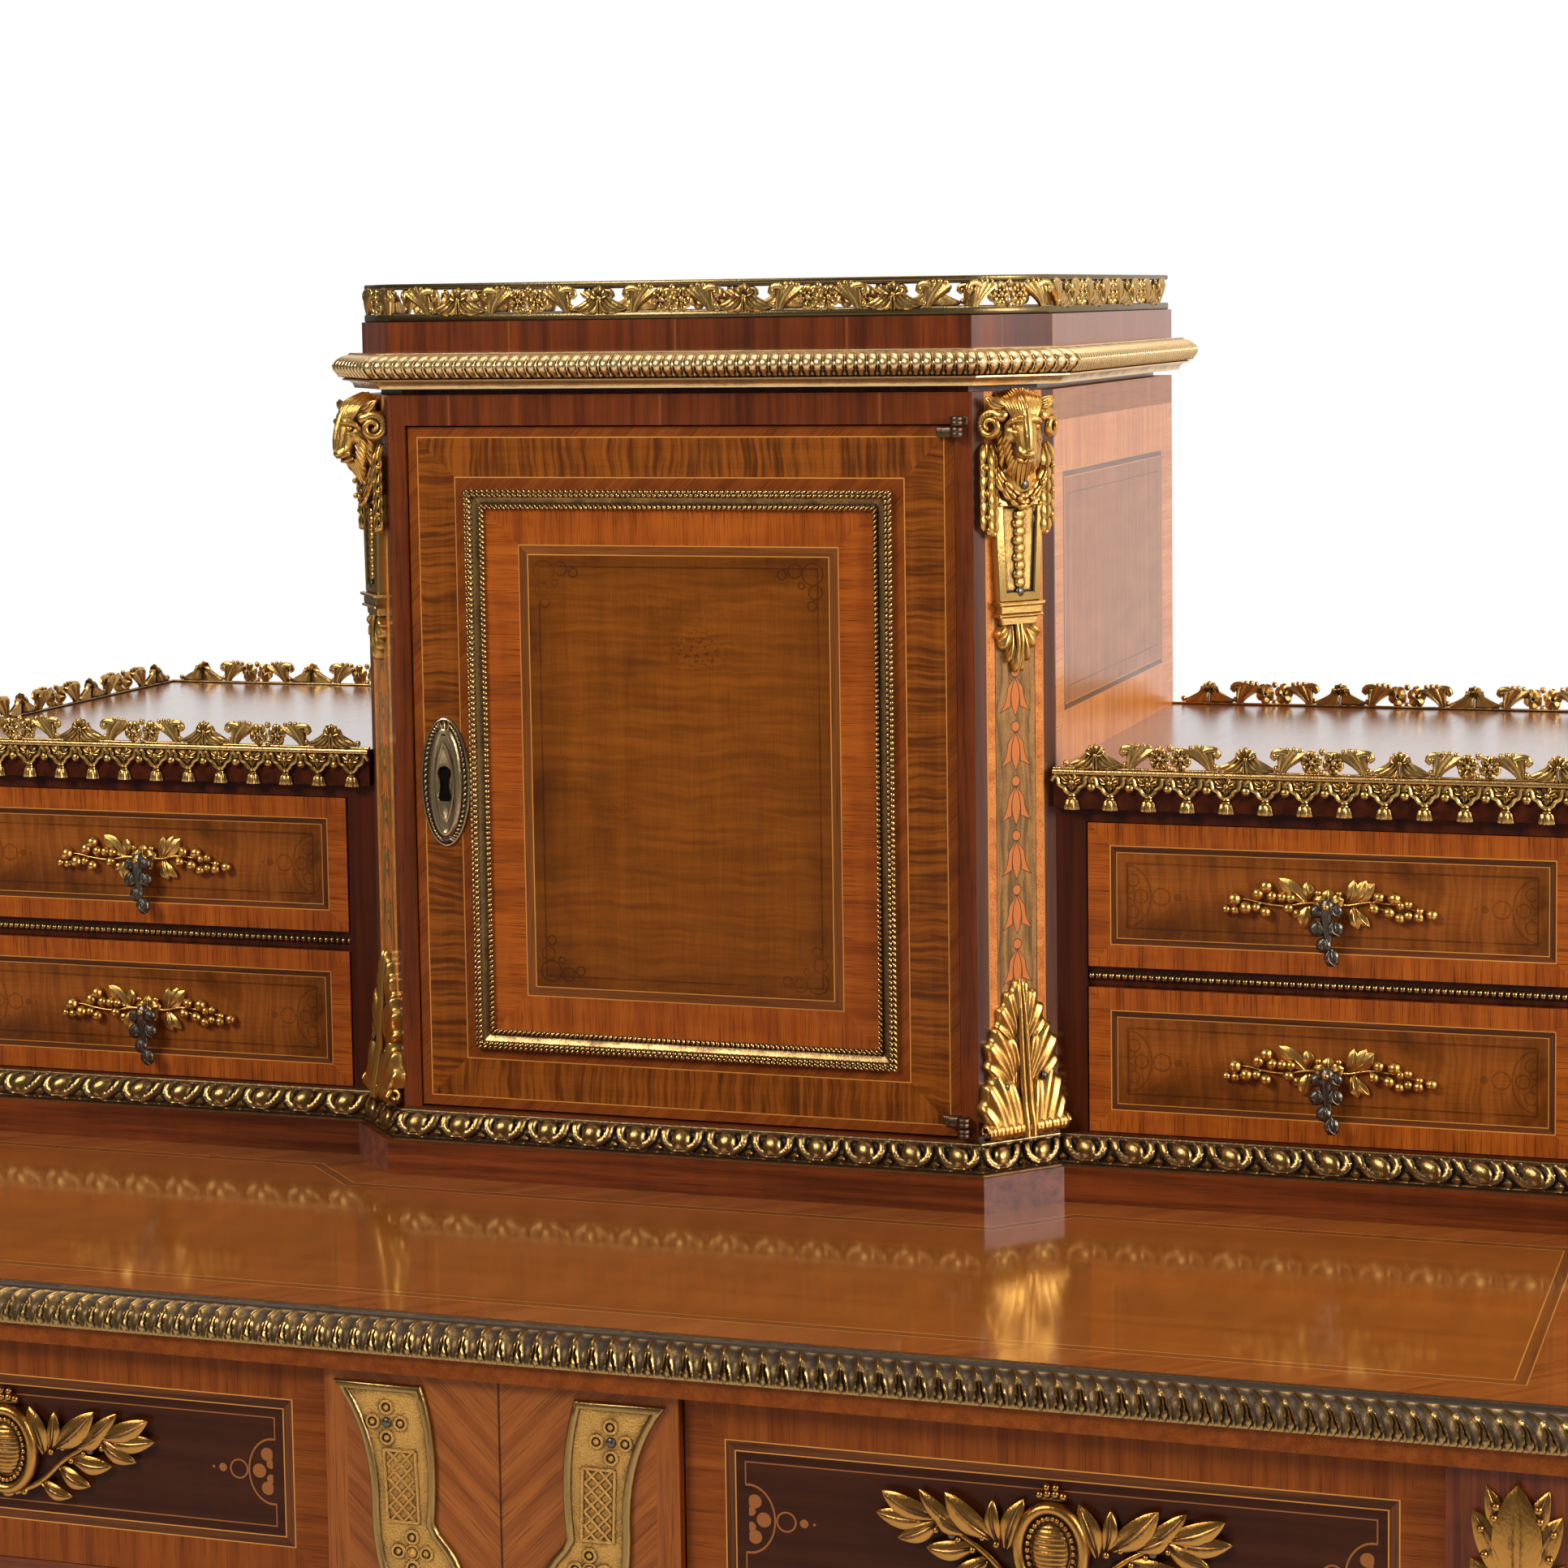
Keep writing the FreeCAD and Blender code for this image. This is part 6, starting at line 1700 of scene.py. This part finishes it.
def buildFloor():    # a pale round floor that fades into white
    bm = bmesh.new()
    bmesh.ops.create_circle(bm, cap_ends=True, segments=96, radius=studio["floor"])
    mesh = asMesh(bm, "floor")
    material, t, shader = startFinish("pale floor")
    x, y = t.places()[:2]
    away = ((x * x + y * y) ** 0.5).ramp(studio["fadeFrom"], 1000 * studio["floor"])
    t.shade(shader, Base_Color=studio["floorColour"], Roughness=0.7)
    glow = t.node("Emission", None, {"Color": white, "Strength": 1})
    blend = t.node("MixShader", None, {0: away, 1: Thread(t.tree, shader.outputs[0]), 2: glow})
    result = [node for node in t.tree.nodes if node.type == "OUTPUT_MATERIAL"][0]
    t.feed(result.inputs[0], blend)
    mesh.materials.append(material)
    linked("floor", mesh)


def buildWorld():    # a white backdrop that shines in the metal, and dimmer light all round
    world = bpy.data.worlds.new("white studio")
    bpy.context.scene.world = world
    world.use_nodes = True
    world.node_tree.nodes.clear()
    t = Thread(world.node_tree)
    result = world.node_tree.nodes.new("ShaderNodeOutputWorld")
    camera, glossy, clear = [t.node("LightPath", None, None, f"Is {kind} Ray")
                             for kind in ("Camera", "Glossy", "Transmission")]
    across, away = t.split("Generated")[:2]
    behind = (away.ramp(-0.35, 0.15) * across.ramp(-0.75, -0.5)).ramp(0, 1, studio["front"], 1)
    level = camera.most(clear)
    level = level + (1 - level) * (glossy * behind + (1 - glossy) * studio["ambient"])
    t.feed(result.inputs[0], t.node("Background", None, {"Color": white, "Strength": level}))


lamps = {
    "key": {"place": (-1.5, -2.6, 2.9), "aim": (0, 0, 0.85), "size": 1, "power": 92},
    "fill": {"place": (2.9, -0.8, 1.8), "aim": (0.1, 0, 0.9), "size": 1.1, "power": 90},
    "top": {"place": (0.2, 0.6, 3.4), "aim": (0, 0, 0.7), "size": 1.6, "power": 34},
}


def buildLamps():
    for name, lamp in lamps.items():
        data = bpy.data.lights.new(name, "AREA")
        data.shape = "SQUARE"
        data.size = lamp["size"]
        data.energy = lamp["power"]
        light = linked(name, data)
        light.location = lamp["place"]
        aim = Vector(lamp["aim"]) - light.location
        light.rotation_euler = aim.to_track_quat("-Z", "Y").to_euler()


view = {"place": (0.61944, -1.74999, 1.21467), "yaw": 18.096, "pitch": 5.318, "roll": 0.833,
        "focal": 4360.08, "image": 1932, "centreRow": 773, "sensor": 36}


def buildCamera():
    data = bpy.data.cameras.new("camera")
    data.sensor_width = view["sensor"]
    data.lens = view["focal"] / view["image"] * view["sensor"]
    data.shift_y = (view["centreRow"] - view["image"] / 2) / view["image"]
    data.clip_start = 0.05
    camera = linked("camera", data)
    turn = Matrix.Rotation(math.radians(view["yaw"]), 4, "Z")
    tip = Matrix.Rotation(math.radians(90 - view["pitch"]), 4, "X")
    lean = Matrix.Rotation(math.radians(-view["roll"]), 4, "Z")
    camera.matrix_world = Matrix.Translation(view["place"]) @ turn @ tip @ lean
    bpy.context.scene.camera = camera


print("floor, light and camera")
buildFloor()
buildWorld()
buildLamps()
buildCamera()
bpy.context.scene.view_settings.view_transform = "Standard"
